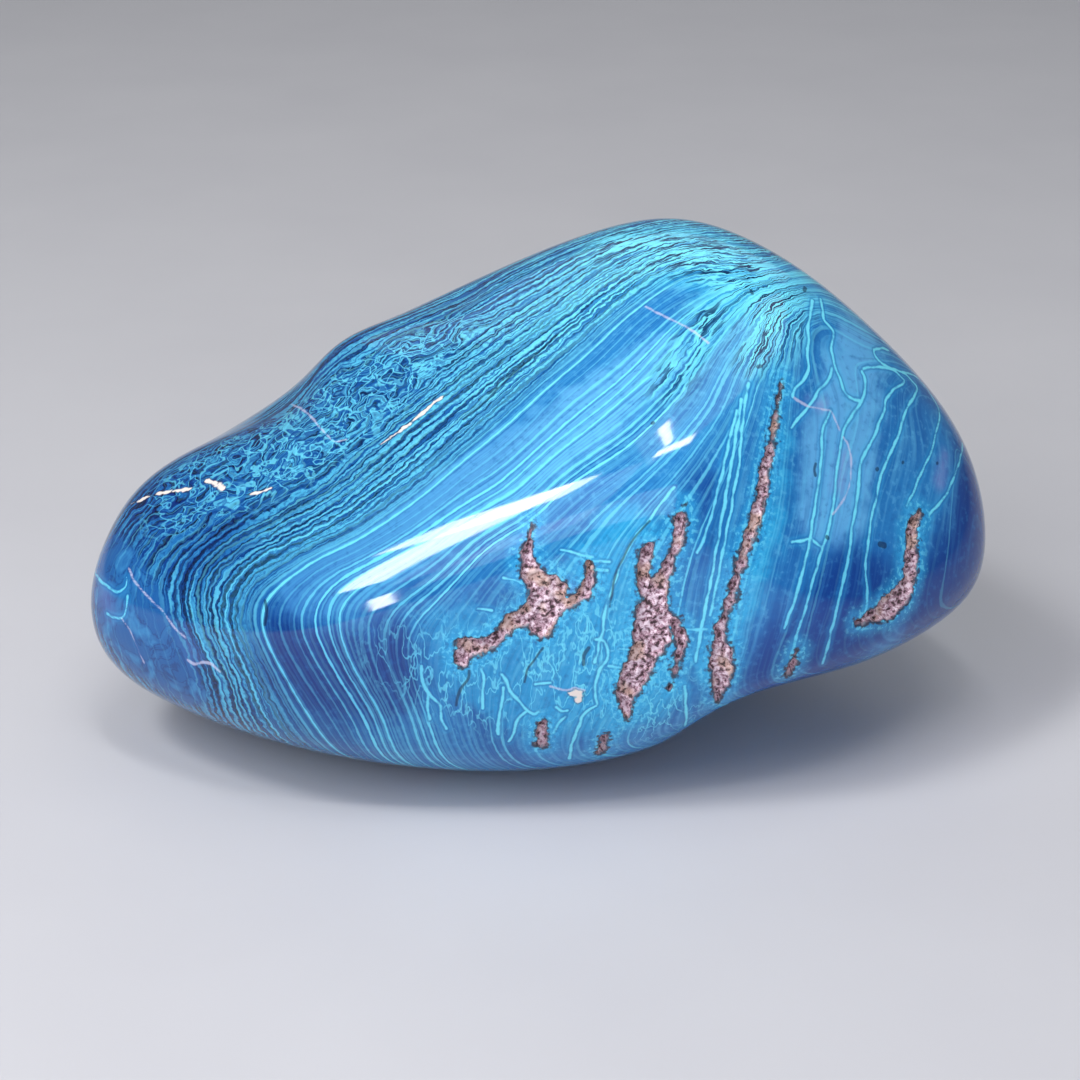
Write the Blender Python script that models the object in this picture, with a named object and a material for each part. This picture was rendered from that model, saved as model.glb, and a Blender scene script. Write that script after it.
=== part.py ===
"""Polished nugget of banded blue amber, with worn facets and recesses where rough matrix shows.

Metres, +Z up. The stone stands on a worn flat at z = 0, with its longest way along X. Its shape is
written down as a viewer sees it who stands in front of it and looks down by VIEW_TILT degrees.
"""

from collections import namedtuple
from math import cos, radians, sin

import bmesh
import bpy
import numpy as np

STONE_NAME = "amber_nugget"

# Driving dimensions
HEART = np.array([0.0008, -0.0033, 0.0280])
FACET_ROUNDING = 0.0035
VIEW_TILT = 25.0
BALL_SUBDIVISIONS = 5

# A broad worn face: its normal's turn in the picture (0 right, 90 up), the normal's turn out of
# the picture towards the viewer, and the face's distance from the heart.
Facet = namedtuple("Facet", "turn lean reach")
FACETS = (
    Facet(122, 0, 0.0310),
    Facet(111, -3, 0.0305),
    Facet(88, 0, 0.0400),
    Facet(53, 0, 0.0390),
    Facet(31, 0, 0.0499),
    Facet(0, 0, 0.0542),
    Facet(-66, 0, 0.0320),
    Facet(-95, 0, 0.0336),
    Facet(-112, 0, 0.0395),
    Facet(-158, 0, 0.0605),
    Facet(180, 0, 0.0585),
    Facet(153, 0, 0.0460),
    Facet(118, 45, 0.0203),
    Facet(-85, 62, 0.0280),
    Facet(10, 55, 0.0340),
    Facet(-150, 50, 0.0400),
    Facet(90, -50, 0.0320),
    Facet(-60, -60, 0.0320),
    Facet(0, -50, 0.0380),
    Facet(180, -50, 0.0400),
    Facet(-90, -25, 0.0305),
)

# A soft swelling (or, below zero, a hollow): where it lies, its height and its spread in degrees.
Swell = namedtuple("Swell", "turn lean height spread")
SWELLS = (
    Swell(-45, 12, -0.0045, 12),
    Swell(-45, -14, -0.0060, 14),
    Swell(163, -2, -0.0030, 12),
    Swell(160, -28, -0.0030, 16),
    Swell(112, 0, -0.0008, 8),
    Swell(141, 0, 0.0014, 12),
    Swell(176, 0, 0.0013, 8),
    Swell(75, -45, 0.0012, 22),
    Swell(200, -45, 0.0015, 20),
    Swell(20, -60, 0.0010, 18),
    Swell(-20, 30, 0.0008, 18),
)

# A recess is a run of points across and up from the heart, each with half the recess's width,
# as a viewer sees it who has walked round the stone by the recess's azimuth in degrees.
Recess = namedtuple("Recess", "name azimuth points")
RECESSES = (
    Recess("branched_trunk", 0, (
        (-0.0014, -0.0025, 0.0003), (-0.0019, -0.0053, 0.0007), (-0.0016, -0.0080, 0.0014),
        (0.0006, -0.0102, 0.0021), (-0.0004, -0.0122, 0.0022), (-0.0002, -0.0146, 0.0010))),
    Recess("branched_arm", 0, (
        (-0.0006, -0.0121, 0.0018), (-0.0035, -0.0133, 0.0012), (-0.0054, -0.0151, 0.0010),
        (-0.0069, -0.0159, 0.0011), (-0.0084, -0.0162, 0.0016), (-0.0089, -0.0176, 0.0010))),
    Recess("branched_twig", 0, (
        (0.0045, -0.0068, 0.0004), (0.0045, -0.0090, 0.0010), (0.0038, -0.0104, 0.0010),
        (0.0020, -0.0112, 0.0010), (0.0004, -0.0108, 0.0010))),
    Recess("forked_trunk", 0, (
        (0.0145, -0.0009, 0.0004), (0.0141, -0.0025, 0.0009), (0.0139, -0.0047, 0.0007),
        (0.0129, -0.0070, 0.0009), (0.0118, -0.0100, 0.0016), (0.0114, -0.0126, 0.0023),
        (0.0113, -0.0148, 0.0024), (0.0104, -0.0170, 0.0020), (0.0093, -0.0195, 0.0018),
        (0.0086, -0.0218, 0.0013), (0.0090, -0.0238, 0.0006))),
    Recess("forked_twig", 0, (
        (0.0113, -0.0047, 0.0005), (0.0106, -0.0060, 0.0009), (0.0103, -0.0081, 0.0010),
        (0.0109, -0.0105, 0.0011))),
    Recess("forked_leg", 0, (
        (0.0125, -0.0124, 0.0011), (0.0143, -0.0145, 0.0010), (0.0142, -0.0172, 0.0007),
        (0.0135, -0.0206, 0.0004))),
    Recess("long_vein", 0, (
        (0.0253, 0.0128, 0.0003), (0.0247, 0.0097, 0.0005), (0.0240, 0.0056, 0.0007),
        (0.0231, 0.0014, 0.0009), (0.0221, -0.0030, 0.0009), (0.0209, -0.0062, 0.0009),
        (0.0200, -0.0095, 0.0008), (0.0191, -0.0125, 0.0007), (0.0186, -0.0150, 0.0010),
        (0.0189, -0.0181, 0.0016), (0.0187, -0.0222, 0.0006))),
    Recess("hook", 0, (
        (0.0412, -0.0018, 0.0008), (0.0405, -0.0036, 0.0012), (0.0402, -0.0060, 0.0012),
        (0.0401, -0.0084, 0.0013), (0.0391, -0.0107, 0.0017), (0.0372, -0.0122, 0.0015),
        (0.0338, -0.0134, 0.0005))),
    Recess("right_fleck", 0, ((0.0271, -0.0164, 0.0005), (0.0264, -0.0190, 0.0008))),
    Recess("foot_fleck", 0, ((-0.0004, -0.0246, 0.0008), (-0.0004, -0.0268, 0.0010))),
    Recess("lower_fleck", 0, ((0.0066, -0.0260, 0.0007), (0.0060, -0.0280, 0.0009))),
    Recess("back_vein", 180, (
        (-0.0240, 0.0100, 0.0004), (-0.0225, 0.0050, 0.0009), (-0.0215, 0.0000, 0.0010),
        (-0.0190, -0.0050, 0.0014), (-0.0180, -0.0090, 0.0006))),
    Recess("back_trunk", 180, (
        (-0.0050, 0.0040, 0.0004), (-0.0030, 0.0000, 0.0014), (-0.0045, -0.0040, 0.0021),
        (-0.0030, -0.0090, 0.0015), (0.0010, -0.0120, 0.0005))),
    Recess("back_arm", 180, (
        (-0.0042, -0.0045, 0.0016), (-0.0080, -0.0070, 0.0012), (-0.0100, -0.0110, 0.0006))),
)
RECESS_DEPTH_SHARE = 0.6
TUBE_BEVEL_RESOLUTION = 3
CAP_WELD = 0.00001
MARCH_START = 0.0800
MARCH_HALVINGS = 40
SLOPE_STEP = 0.0001
LEAST_FACING = 0.001
FAR_REACH = 1.0
ROUNDING_ROUNDS = 20

# Look: sRGB blue of the polished amber
AMBER_COLOR = (0.027, 0.205, 0.578, 1.0)
AMBER_ROUGHNESS = 0.12
AMBER_IOR = 1.54


def clear_scene():
    """Remove every object that the file opened with."""
    for thing in list(bpy.data.objects):
        bpy.data.objects.remove(thing, do_unlink=True)


def view_axes(azimuth=0.0):
    """Right, up and towards-the-viewer axes for a viewer who has walked round by azimuth degrees."""
    walk = radians(azimuth)
    tilt = radians(VIEW_TILT)
    right = np.array([cos(walk), sin(walk), 0.0])
    level = np.array([sin(walk), -cos(walk), 0.0])
    upright = np.array([0.0, 0.0, 1.0])
    up = cos(tilt) * upright - sin(tilt) * level
    toward = sin(tilt) * upright + cos(tilt) * level
    return right, up, toward


def seen_direction(turn, lean):
    """Unit vector at this turn in the picture, leaning out of it towards the viewer."""
    right, up, toward = view_axes()
    in_picture = cos(radians(turn)) * right + sin(radians(turn)) * up
    return cos(radians(lean)) * in_picture + sin(radians(lean)) * toward


def facet_reach(directions):
    """Distance from the heart to the softly rounded meeting of the facets, along each direction."""
    normals = np.array([seen_direction(facet.turn, facet.lean) for facet in FACETS])
    distances = np.array([facet.reach for facet in FACETS])
    cosines = directions @ normals.T
    ahead = cosines > LEAST_FACING
    reach = np.min(np.where(ahead, distances / np.where(ahead, cosines, 1.0), FAR_REACH), axis=1)
    for _ in range(ROUNDING_ROUNDS):
        weights = np.exp((reach[:, None] * cosines - distances) / FACET_ROUNDING)
        total = weights.sum(axis=1)
        slope = (weights * cosines).sum(axis=1) / total
        reach = reach - FACET_ROUNDING * np.log(total) / slope
    return reach


def surface_reach(directions):
    """Distance from the heart to the stone's surface along each unit direction."""
    reach = facet_reach(directions)
    for swell in SWELLS:
        nearness = np.clip(directions @ seen_direction(swell.turn, swell.lean), -1.0, 1.0)
        angle = np.degrees(np.arccos(nearness))
        reach = reach + swell.height * np.exp(-((angle / swell.spread) ** 2))
    return reach


def gap_outside(points):
    """How far each point lies outside the surface, measured from the heart."""
    offsets = points - HEART
    lengths = np.linalg.norm(offsets, axis=1)
    return lengths - surface_reach(offsets / lengths[:, None])


def points_on_surface(azimuth, across, up):
    """Surface points that a viewer at this azimuth sees at these places across and up."""
    right_axis, up_axis, toward = view_axes(azimuth)
    middle = HEART + np.outer(across, right_axis) + np.outer(up, up_axis)
    inner = np.zeros(len(middle))
    outer = np.full(len(middle), MARCH_START)
    for _ in range(MARCH_HALVINGS):
        halfway = (inner + outer) / 2
        outside = gap_outside(middle + np.outer(halfway, toward)) > 0
        outer = np.where(outside, halfway, outer)
        inner = np.where(outside, inner, halfway)
    return middle + np.outer(outer, toward)


def surface_normals(points):
    """Outward unit normals of the surface at these points."""
    steps = SLOPE_STEP * np.identity(3)
    slopes = [gap_outside(points + step) - gap_outside(points - step) for step in steps]
    normals = np.stack(slopes, axis=1)
    return normals / np.linalg.norm(normals, axis=1)[:, None]


def new_collection(name):
    """Collection of this name, linked to the scene."""
    collection = bpy.data.collections.new(name)
    bpy.context.scene.collection.children.link(collection)
    return collection


def amber_material():
    """Glossy blue of the polished amber."""
    material = bpy.data.materials.new("Blue amber")
    material.use_nodes = True
    shader = material.node_tree.nodes["Principled BSDF"]
    shader.inputs["Base Color"].default_value = AMBER_COLOR
    shader.inputs["Roughness"].default_value = AMBER_ROUGHNESS
    shader.inputs["Metallic"].default_value = 0.0
    shader.inputs["IOR"].default_value = AMBER_IOR
    return material


def make_stone(collection):
    """The nugget without its recesses: a ball pushed out to the surface and worn flat at z = 0."""
    mesh = bpy.data.meshes.new(STONE_NAME)
    ball = bmesh.new()
    bmesh.ops.create_icosphere(ball, subdivisions=BALL_SUBDIVISIONS, radius=1.0)
    ball.to_mesh(mesh)
    ball.free()
    directions = np.empty(len(mesh.vertices) * 3)
    mesh.vertices.foreach_get("co", directions)
    directions = directions.reshape(-1, 3)
    directions = directions / np.linalg.norm(directions, axis=1)[:, None]
    points = HEART + directions * surface_reach(directions)[:, None]
    points[:, 2] = np.maximum(points[:, 2], 0.0)
    mesh.vertices.foreach_set("co", points.ravel())
    mesh.update()
    stone = bpy.data.objects.new(STONE_NAME, mesh)
    collection.objects.link(stone)
    stone.data.materials.append(amber_material())
    return stone


def recess_curve(recess):
    """Curve object whose tube reaches into the stone along the recess."""
    across, up, half_width = np.array(recess.points).T
    points = points_on_surface(recess.azimuth, across, up)
    # A tube of radius r whose middle is lifted by l cuts half_width**2 = r**2 - l**2 wide
    # and r - l deep.
    depth = RECESS_DEPTH_SHARE * half_width
    reach = half_width**2 / depth
    radius = (reach + depth) / 2
    lift = (reach - depth) / 2
    middles = points + surface_normals(points) * lift[:, None]
    curve = bpy.data.curves.new(recess.name, "CURVE")
    curve.dimensions = "3D"
    curve.bevel_depth = 1.0
    curve.bevel_resolution = TUBE_BEVEL_RESOLUTION
    curve.use_fill_caps = True
    spline = curve.splines.new("POLY")
    spline.points.add(len(middles) - 1)
    for spline_point, middle, point_radius in zip(spline.points, middles, radius):
        spline_point.co = (*middle, 1.0)
        spline_point.radius = point_radius
    return bpy.data.objects.new(recess.name + "_tube", curve)


def make_cutter(recess, collection):
    """Mesh cutter for one recess, hidden from renders."""
    tube = recess_curve(recess)
    collection.objects.link(tube)
    graph = bpy.context.evaluated_depsgraph_get()
    mesh = bpy.data.meshes.new_from_object(tube.evaluated_get(graph))
    shape = bmesh.new()
    shape.from_mesh(mesh)
    bmesh.ops.remove_doubles(shape, verts=shape.verts, dist=CAP_WELD)
    bmesh.ops.recalc_face_normals(shape, faces=shape.faces)
    shape.to_mesh(mesh)
    shape.free()
    cutter = bpy.data.objects.new(recess.name + "_cutter", mesh)
    cutter.matrix_world = tube.matrix_world
    cutter.hide_render = True
    cutter.display_type = "WIRE"
    collection.objects.link(cutter)
    bpy.data.objects.remove(tube, do_unlink=True)


def cut_recesses(stone, collection):
    """Take every recess out of the stone."""
    for recess in RECESSES:
        make_cutter(recess, collection)
    cut = stone.modifiers.new("Recesses", "BOOLEAN")
    cut.operation = "DIFFERENCE"
    cut.operand_type = "COLLECTION"
    cut.collection = collection
    cut.solver = "EXACT"
    cut.use_self = True


def main():
    """Build the nugget."""
    clear_scene()
    stone = make_stone(new_collection("Amber nugget"))
    cut_recesses(stone, new_collection("Recess cutters"))


main()
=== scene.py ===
"""Polished blue amber nugget, dressed for a product picture.

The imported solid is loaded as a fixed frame. A finer nugget of the same shape takes its place, with
crusted recesses, folded beds, seams and healed cracks, and stands on a pale floor under soft lamps.
"""

import logging
from dataclasses import dataclass
from enum import Enum
from math import cos, radians, sin

import bpy
import numpy as np
from mathutils import Matrix, Vector, noise


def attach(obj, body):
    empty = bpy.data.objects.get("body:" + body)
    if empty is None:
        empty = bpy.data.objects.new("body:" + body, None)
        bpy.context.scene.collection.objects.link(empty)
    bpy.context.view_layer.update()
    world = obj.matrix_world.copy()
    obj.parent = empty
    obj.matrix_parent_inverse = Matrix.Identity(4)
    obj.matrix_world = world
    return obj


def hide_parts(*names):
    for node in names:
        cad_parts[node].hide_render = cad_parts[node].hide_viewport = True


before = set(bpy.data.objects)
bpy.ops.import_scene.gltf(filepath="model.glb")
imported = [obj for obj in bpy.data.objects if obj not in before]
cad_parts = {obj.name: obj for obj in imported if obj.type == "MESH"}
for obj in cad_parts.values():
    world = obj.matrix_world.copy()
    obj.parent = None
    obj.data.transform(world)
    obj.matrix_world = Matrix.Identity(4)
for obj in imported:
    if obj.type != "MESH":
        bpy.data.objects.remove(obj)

LOG = logging.getLogger("nugget")
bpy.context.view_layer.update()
STONE_NODE = "amber_nugget"
STONE_BODY = "root"

MM = 0.001
PICTURE_SIDE = 0.0
VIEW_TILT = 25.0
HEART = np.array([0.0008, -0.0033, 0.0280])
FIELD_MIDDLE = 0.5
POINTS_AT_ONCE = 8000

Array = np.ndarray


def linear(hex_colour: str) -> tuple[float, float, float, float]:
    """Turn an sRGB hex colour into linear light.

    Args:
        hex_colour: Six hex digits, red first.

    Returns:
        Linear red, green and blue, and an alpha of 1.
    """
    parts = [int(hex_colour[i : i + 2], 16) / 255 for i in (0, 2, 4)]
    light = [p / 12.92 if p <= 0.04045 else ((p + 0.055) / 1.055) ** 2.4 for p in parts]
    return (*light, 1.0)


def view_axes(azimuth: float = PICTURE_SIDE) -> tuple[Array, Array, Array]:
    """Axes of a viewer who has walked round the stone.

    Args:
        azimuth: How far the viewer has walked, in degrees; 0 is the picture's side.

    Returns:
        Unit vectors to the right, up, and towards the viewer.
    """
    walk = radians(azimuth)
    tilt = radians(VIEW_TILT)
    right = np.array([cos(walk), sin(walk), 0.0])
    level = np.array([sin(walk), -cos(walk), 0.0])
    upright = np.array([0.0, 0.0, 1.0])
    up = cos(tilt) * upright - sin(tilt) * level
    toward = sin(tilt) * upright + cos(tilt) * level
    return right, up, toward


def seen_direction(turn: float, lean: float) -> Array:
    """Direction given as it is seen in the picture.

    Args:
        turn: Turn in the picture in degrees, 0 to the right and 90 up.
        lean: Lean out of the picture towards the viewer, in degrees.

    Returns:
        Unit vector.
    """
    right, up, toward = view_axes()
    in_picture = cos(radians(turn)) * right + sin(radians(turn)) * up
    return cos(radians(lean)) * in_picture + sin(radians(lean)) * toward


def sky_direction(azimuth: float, elevation: float) -> Array:
    """Unit vector towards a compass angle (0 is +X, 90 is +Y) and a height above the horizon."""
    level = cos(radians(elevation))
    return np.array([level * cos(radians(azimuth)), level * sin(radians(azimuth)), sin(radians(elevation))])


def smooth_step(low: float, high: float, value: Array) -> Array:
    """Rise smoothly from 0 at low to 1 at high."""
    share = np.clip((value - low) / (high - low), 0.0, 1.0)
    return share * share * (3.0 - 2.0 * share)


@dataclass(frozen=True)
class Facet:
    """Broad worn face: its normal as seen in the picture, and its distance from the heart."""

    turn: float
    lean: float
    reach: float


@dataclass(frozen=True)
class Swell:
    """Soft swelling of the surface, or a hollow where its height is below zero."""

    turn: float
    lean: float
    height: float
    spread: float


@dataclass(frozen=True)
class Stroke:
    """Run of points across and up from the heart, each with a half width, seen from an azimuth.

    Lengths are in millimetres.
    """

    name: str
    points: tuple[tuple[float, float, float], ...]
    azimuth: float = 0.0


@dataclass(frozen=True)
class Bed:
    """One bed of the resin, numbered from the crest, as the line in which it meets the surface.

    The line is seen from the picture's side, across and up from the heart in millimetres.
    """

    number: float
    line: tuple[tuple[float, float], ...]


class Mark(Enum):
    """Attributes that carry the stone's make-up from the mesh to its finish."""

    BEDS = "beds"
    RUN = "run"
    CROWDING = "crowding"
    RECESS = "recess_gap"
    VEIN = "vein_gap"
    CRACK = "crack_gap"
    SLIT = "slit_gap"
    FLECK = "fleck_gap"
    TURMOIL = "turmoil"
    CALM = "calm"
    DENSE = "dense"
    NET = "net"
    RAGGED = "ragged"
    SEAMS = "seams"
    PALE = "pale"
    # Painted shade on the low parts, the right end and the nose, and a darker streak by the fork.
    DEEP = "deep"
    BRIGHT = "bright"
    MARBLE = "marble"
    STAIN = "stain"


@dataclass(frozen=True)
class StoneShape:
    """The nugget's form: facets that meet in soft ridges, with a few swells and hollows."""

    rounding: float = 0.0035
    rounding_rounds: int = 20
    least_facing: float = 0.001
    far_reach: float = 1.0
    march_start: float = 0.080
    march_halvings: int = 30
    facets: tuple[Facet, ...] = (
        Facet(122, 0, 0.0310),
        Facet(111, -3, 0.0305),
        Facet(88, 0, 0.0400),
        Facet(53, 0, 0.0390),
        Facet(31, 0, 0.0499),
        Facet(0, 0, 0.0542),
        Facet(-66, 0, 0.0320),
        Facet(-95, 0, 0.0336),
        Facet(-112, 0, 0.0395),
        Facet(-158, 0, 0.0605),
        Facet(180, 0, 0.0585),
        Facet(153, 0, 0.0460),
        Facet(118, 45, 0.0203),
        Facet(-85, 62, 0.0280),
        Facet(10, 55, 0.0340),
        Facet(-150, 50, 0.0400),
        Facet(90, -50, 0.0320),
        Facet(-60, -60, 0.0320),
        Facet(0, -50, 0.0380),
        Facet(180, -50, 0.0400),
        Facet(-90, -25, 0.0305),
    )
    swells: tuple[Swell, ...] = (
        Swell(-45, 12, -0.0045, 12),
        Swell(-45, -14, -0.0060, 14),
        Swell(163, -2, -0.0030, 12),
        Swell(160, -28, -0.0030, 16),
        Swell(112, 0, -0.0008, 8),
        Swell(141, 0, 0.0014, 12),
        Swell(176, 0, 0.0013, 8),
        Swell(75, -45, 0.0012, 22),
        Swell(200, -45, 0.0015, 20),
        Swell(20, -60, 0.0010, 18),
        Swell(-20, 30, 0.0008, 18),
    )

    def reach(self, directions: Array) -> Array:
        """Distance from the heart to the surface.

        Args:
            directions: Unit vectors, one a row.

        Returns:
            One distance for each direction, in metres.
        """
        normals = np.array([seen_direction(facet.turn, facet.lean) for facet in self.facets])
        distances = np.array([facet.reach for facet in self.facets])
        cosines = directions @ normals.T
        ahead = cosines > self.least_facing
        reach = np.where(ahead, distances / np.where(ahead, cosines, 1.0), self.far_reach).min(axis=1)
        for _ in range(self.rounding_rounds):
            weights = np.exp((reach[:, None] * cosines - distances) / self.rounding)
            total = weights.sum(axis=1)
            slope = (weights * cosines).sum(axis=1) / total
            reach = reach - self.rounding * np.log(total) / slope
        for swell in self.swells:
            nearness = np.clip(directions @ seen_direction(swell.turn, swell.lean), -1.0, 1.0)
            angle = np.degrees(np.arccos(nearness))
            reach = reach + swell.height * np.exp(-((angle / swell.spread) ** 2))
        return reach

    def outside(self, points: Array) -> Array:
        """How far each point lies outside the surface, measured from the heart."""
        offsets = points - HEART
        lengths = np.linalg.norm(offsets, axis=1)
        return lengths - self.reach(offsets / lengths[:, None])

    def on_surface(self, azimuth: float, across: Array, up: Array) -> Array:
        """Find the surface points that a viewer sees at given places.

        Args:
            azimuth: How far the viewer has walked round, in degrees.
            across: Places to the right of the heart, in metres.
            up: Places above the heart in the view, in metres.

        Returns:
            One surface point for each place.
        """
        right_axis, up_axis, toward = view_axes(azimuth)
        middle = HEART + np.outer(across, right_axis) + np.outer(up, up_axis)
        inner = np.zeros(len(middle))
        outer = np.full(len(middle), self.march_start)
        for _ in range(self.march_halvings):
            halfway = (inner + outer) / 2
            beyond = self.outside(middle + np.outer(halfway, toward)) > 0
            outer = np.where(beyond, halfway, outer)
            inner = np.where(beyond, inner, halfway)
        return middle + np.outer(outer, toward)

    def lay(self, strokes: tuple[Stroke, ...]) -> tuple["LaidStroke", ...]:
        """Lay strokes on the surface.

        Args:
            strokes: Strokes as a viewer sees them.

        Returns:
            The same strokes as points in space.
        """
        laid = []
        for stroke in strokes:
            across, up, half_width = rounded(np.array(stroke.points) * MM).T
            laid.append(LaidStroke(self.on_surface(stroke.azimuth, across, up), half_width))
        return tuple(laid)


def rounded(points: Array, share: int = 3) -> Array:
    """Smooth run through the same points.

    Args:
        points: Points of a stroke, one a row.
        share: How many parts each stretch is cut into.

    Returns:
        The points with new ones between them, on a Catmull-Rom curve.
    """
    if len(points) < 3:
        return points
    ends = np.vstack([2 * points[0] - points[1], points, 2 * points[-1] - points[-2]])
    before, start, end, after = ends[:-3], ends[1:-2], ends[2:-1], ends[3:]
    run = [points[:1]]
    for step in range(1, share + 1):
        t = step / share
        curve = 2 * start + (end - before) * t + (2 * before - 5 * start + 4 * end - after) * t**2
        run.append((curve + (3 * start - before - 3 * end + after) * t**3) / 2)
    stretches = np.stack(run[1:], axis=1).reshape(-1, points.shape[1])
    return np.vstack([points[:1], stretches])


@dataclass(frozen=True)
class LaidStroke:
    """Stroke on the stone: its points in space and the half width at each."""

    knots: Array
    half_width: Array

    def lower_gap(self, points: Array, gap: Array) -> None:
        """Lower each point's gap to its distance from this stroke's edge, where that is less.

        Args:
            points: Surface points, one a row.
            gap: Gap of each point so far, changed in place; its highest value is how far a stroke counts.
        """
        reach = gap.max() + self.half_width.max()
        low = self.knots.min(axis=0) - reach
        high = self.knots.max(axis=0) + reach
        near = np.flatnonzero(((points > low) & (points < high)).all(axis=1))
        for number in range(len(self.knots) - 1):
            start = self.knots[number]
            along = self.knots[number + 1] - start
            first, last = self.half_width[number : number + 2]
            share = np.clip((points[near] - start) @ along / (along @ along), 0.0, 1.0)
            far = np.linalg.norm(points[near] - start - share[:, None] * along, axis=1)
            gap[near] = np.minimum(gap[near], far - first - (last - first) * share)


def gap_to(points: Array, strokes: tuple[LaidStroke, ...], most: float) -> Array:
    """Distance from points to the edge of the nearest stroke.

    Args:
        points: Surface points, one a row.
        strokes: Strokes laid on the stone.
        most: Distance past which it no longer matters.

    Returns:
        Distances in metres, below zero within a stroke and never above the most.
    """
    gap = np.full(len(points), most)
    for stroke in strokes:
        stroke.lower_gap(points, gap)
    return gap


def hairline(name: str, half_width: float, *points: tuple[float, float]) -> Stroke:
    """Stroke of one width on the picture's side.

    Args:
        name: What the line is.
        half_width: Half of its width, in millimetres.
        points: Places across and up from the heart, in millimetres.

    Returns:
        The stroke.
    """
    return Stroke(name, tuple((across, up, half_width) for across, up in points))


# Recesses with rough matrix, the same as the solid's. Here and below, points are in millimetres.
RECESSES = (
    Stroke("branched_trunk", (
        (-1.4, -2.5, 0.3), (-1.9, -5.3, 0.7), (-1.6, -8.0, 1.4), (0.6, -10.2, 2.1), (-0.4, -12.2, 2.2),
        (-0.2, -14.6, 1.0))),
    Stroke("branched_arm", (
        (-0.6, -12.1, 1.8), (-3.5, -13.3, 1.2), (-5.4, -15.1, 1.0), (-6.9, -15.9, 1.1),
        (-8.4, -16.2, 1.6), (-8.9, -17.6, 1.0))),
    Stroke("branched_twig", (
        (4.5, -6.8, 0.4), (4.5, -9.0, 1.0), (3.8, -10.4, 1.0), (2.0, -11.2, 1.0), (0.4, -10.8, 1.0))),
    Stroke("forked_trunk", (
        (14.5, -0.9, 0.4), (14.1, -2.5, 0.9), (13.9, -4.7, 0.7), (12.9, -7.0, 0.9), (11.8, -10.0, 1.6),
        (11.4, -12.6, 2.3), (11.3, -14.8, 2.4), (10.4, -17.0, 2.0), (9.3, -19.5, 1.8), (8.6, -21.8, 1.3),
        (9.0, -23.8, 0.6))),
    Stroke("forked_twig", ((11.3, -4.7, 0.5), (10.6, -6.0, 0.9), (10.3, -8.1, 1.0), (10.9, -10.5, 1.1))),
    Stroke("forked_leg", (
        (12.5, -12.4, 1.1), (14.3, -14.5, 1.0), (14.2, -17.2, 0.7), (13.5, -20.6, 0.4))),
    Stroke("long_vein", (
        (25.3, 12.8, 0.3), (24.7, 9.7, 0.5), (24.0, 5.6, 0.7), (23.1, 1.4, 0.9), (22.1, -3.0, 0.9),
        (20.9, -6.2, 0.9), (20.0, -9.5, 0.8), (19.1, -12.5, 0.7), (18.6, -15.0, 1.0), (18.9, -18.1, 1.6),
        (18.7, -22.2, 0.6))),
    Stroke("hook", (
        (41.2, -1.8, 0.8), (40.5, -3.6, 1.2), (40.2, -6.0, 1.2), (40.1, -8.4, 1.3), (39.1, -10.7, 1.7),
        (37.2, -12.2, 1.5), (33.8, -13.4, 0.5))),
    Stroke("right_fleck", ((27.1, -16.4, 0.5), (26.4, -19.0, 0.8))),
    Stroke("foot_fleck", ((-0.4, -24.6, 0.8), (-0.4, -26.8, 1.0))),
    Stroke("lower_fleck", ((6.6, -26.0, 0.7), (6.0, -28.0, 0.9))),
    Stroke("back_vein", (
        (-24.0, 10.0, 0.4), (-22.5, 5.0, 0.9), (-21.5, 0.0, 1.0), (-19.0, -5.0, 1.4),
        (-18.0, -9.0, 0.6)), 180),
    Stroke("back_trunk", (
        (-5.0, 4.0, 0.4), (-3.0, 0.0, 1.4), (-4.5, -4.0, 2.1), (-3.0, -9.0, 1.5),
        (1.0, -12.0, 0.5)), 180),
    Stroke("back_arm", ((-4.2, -4.5, 1.6), (-8.0, -7.0, 1.2), (-10.0, -11.0, 0.6)), 180),
)

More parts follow.
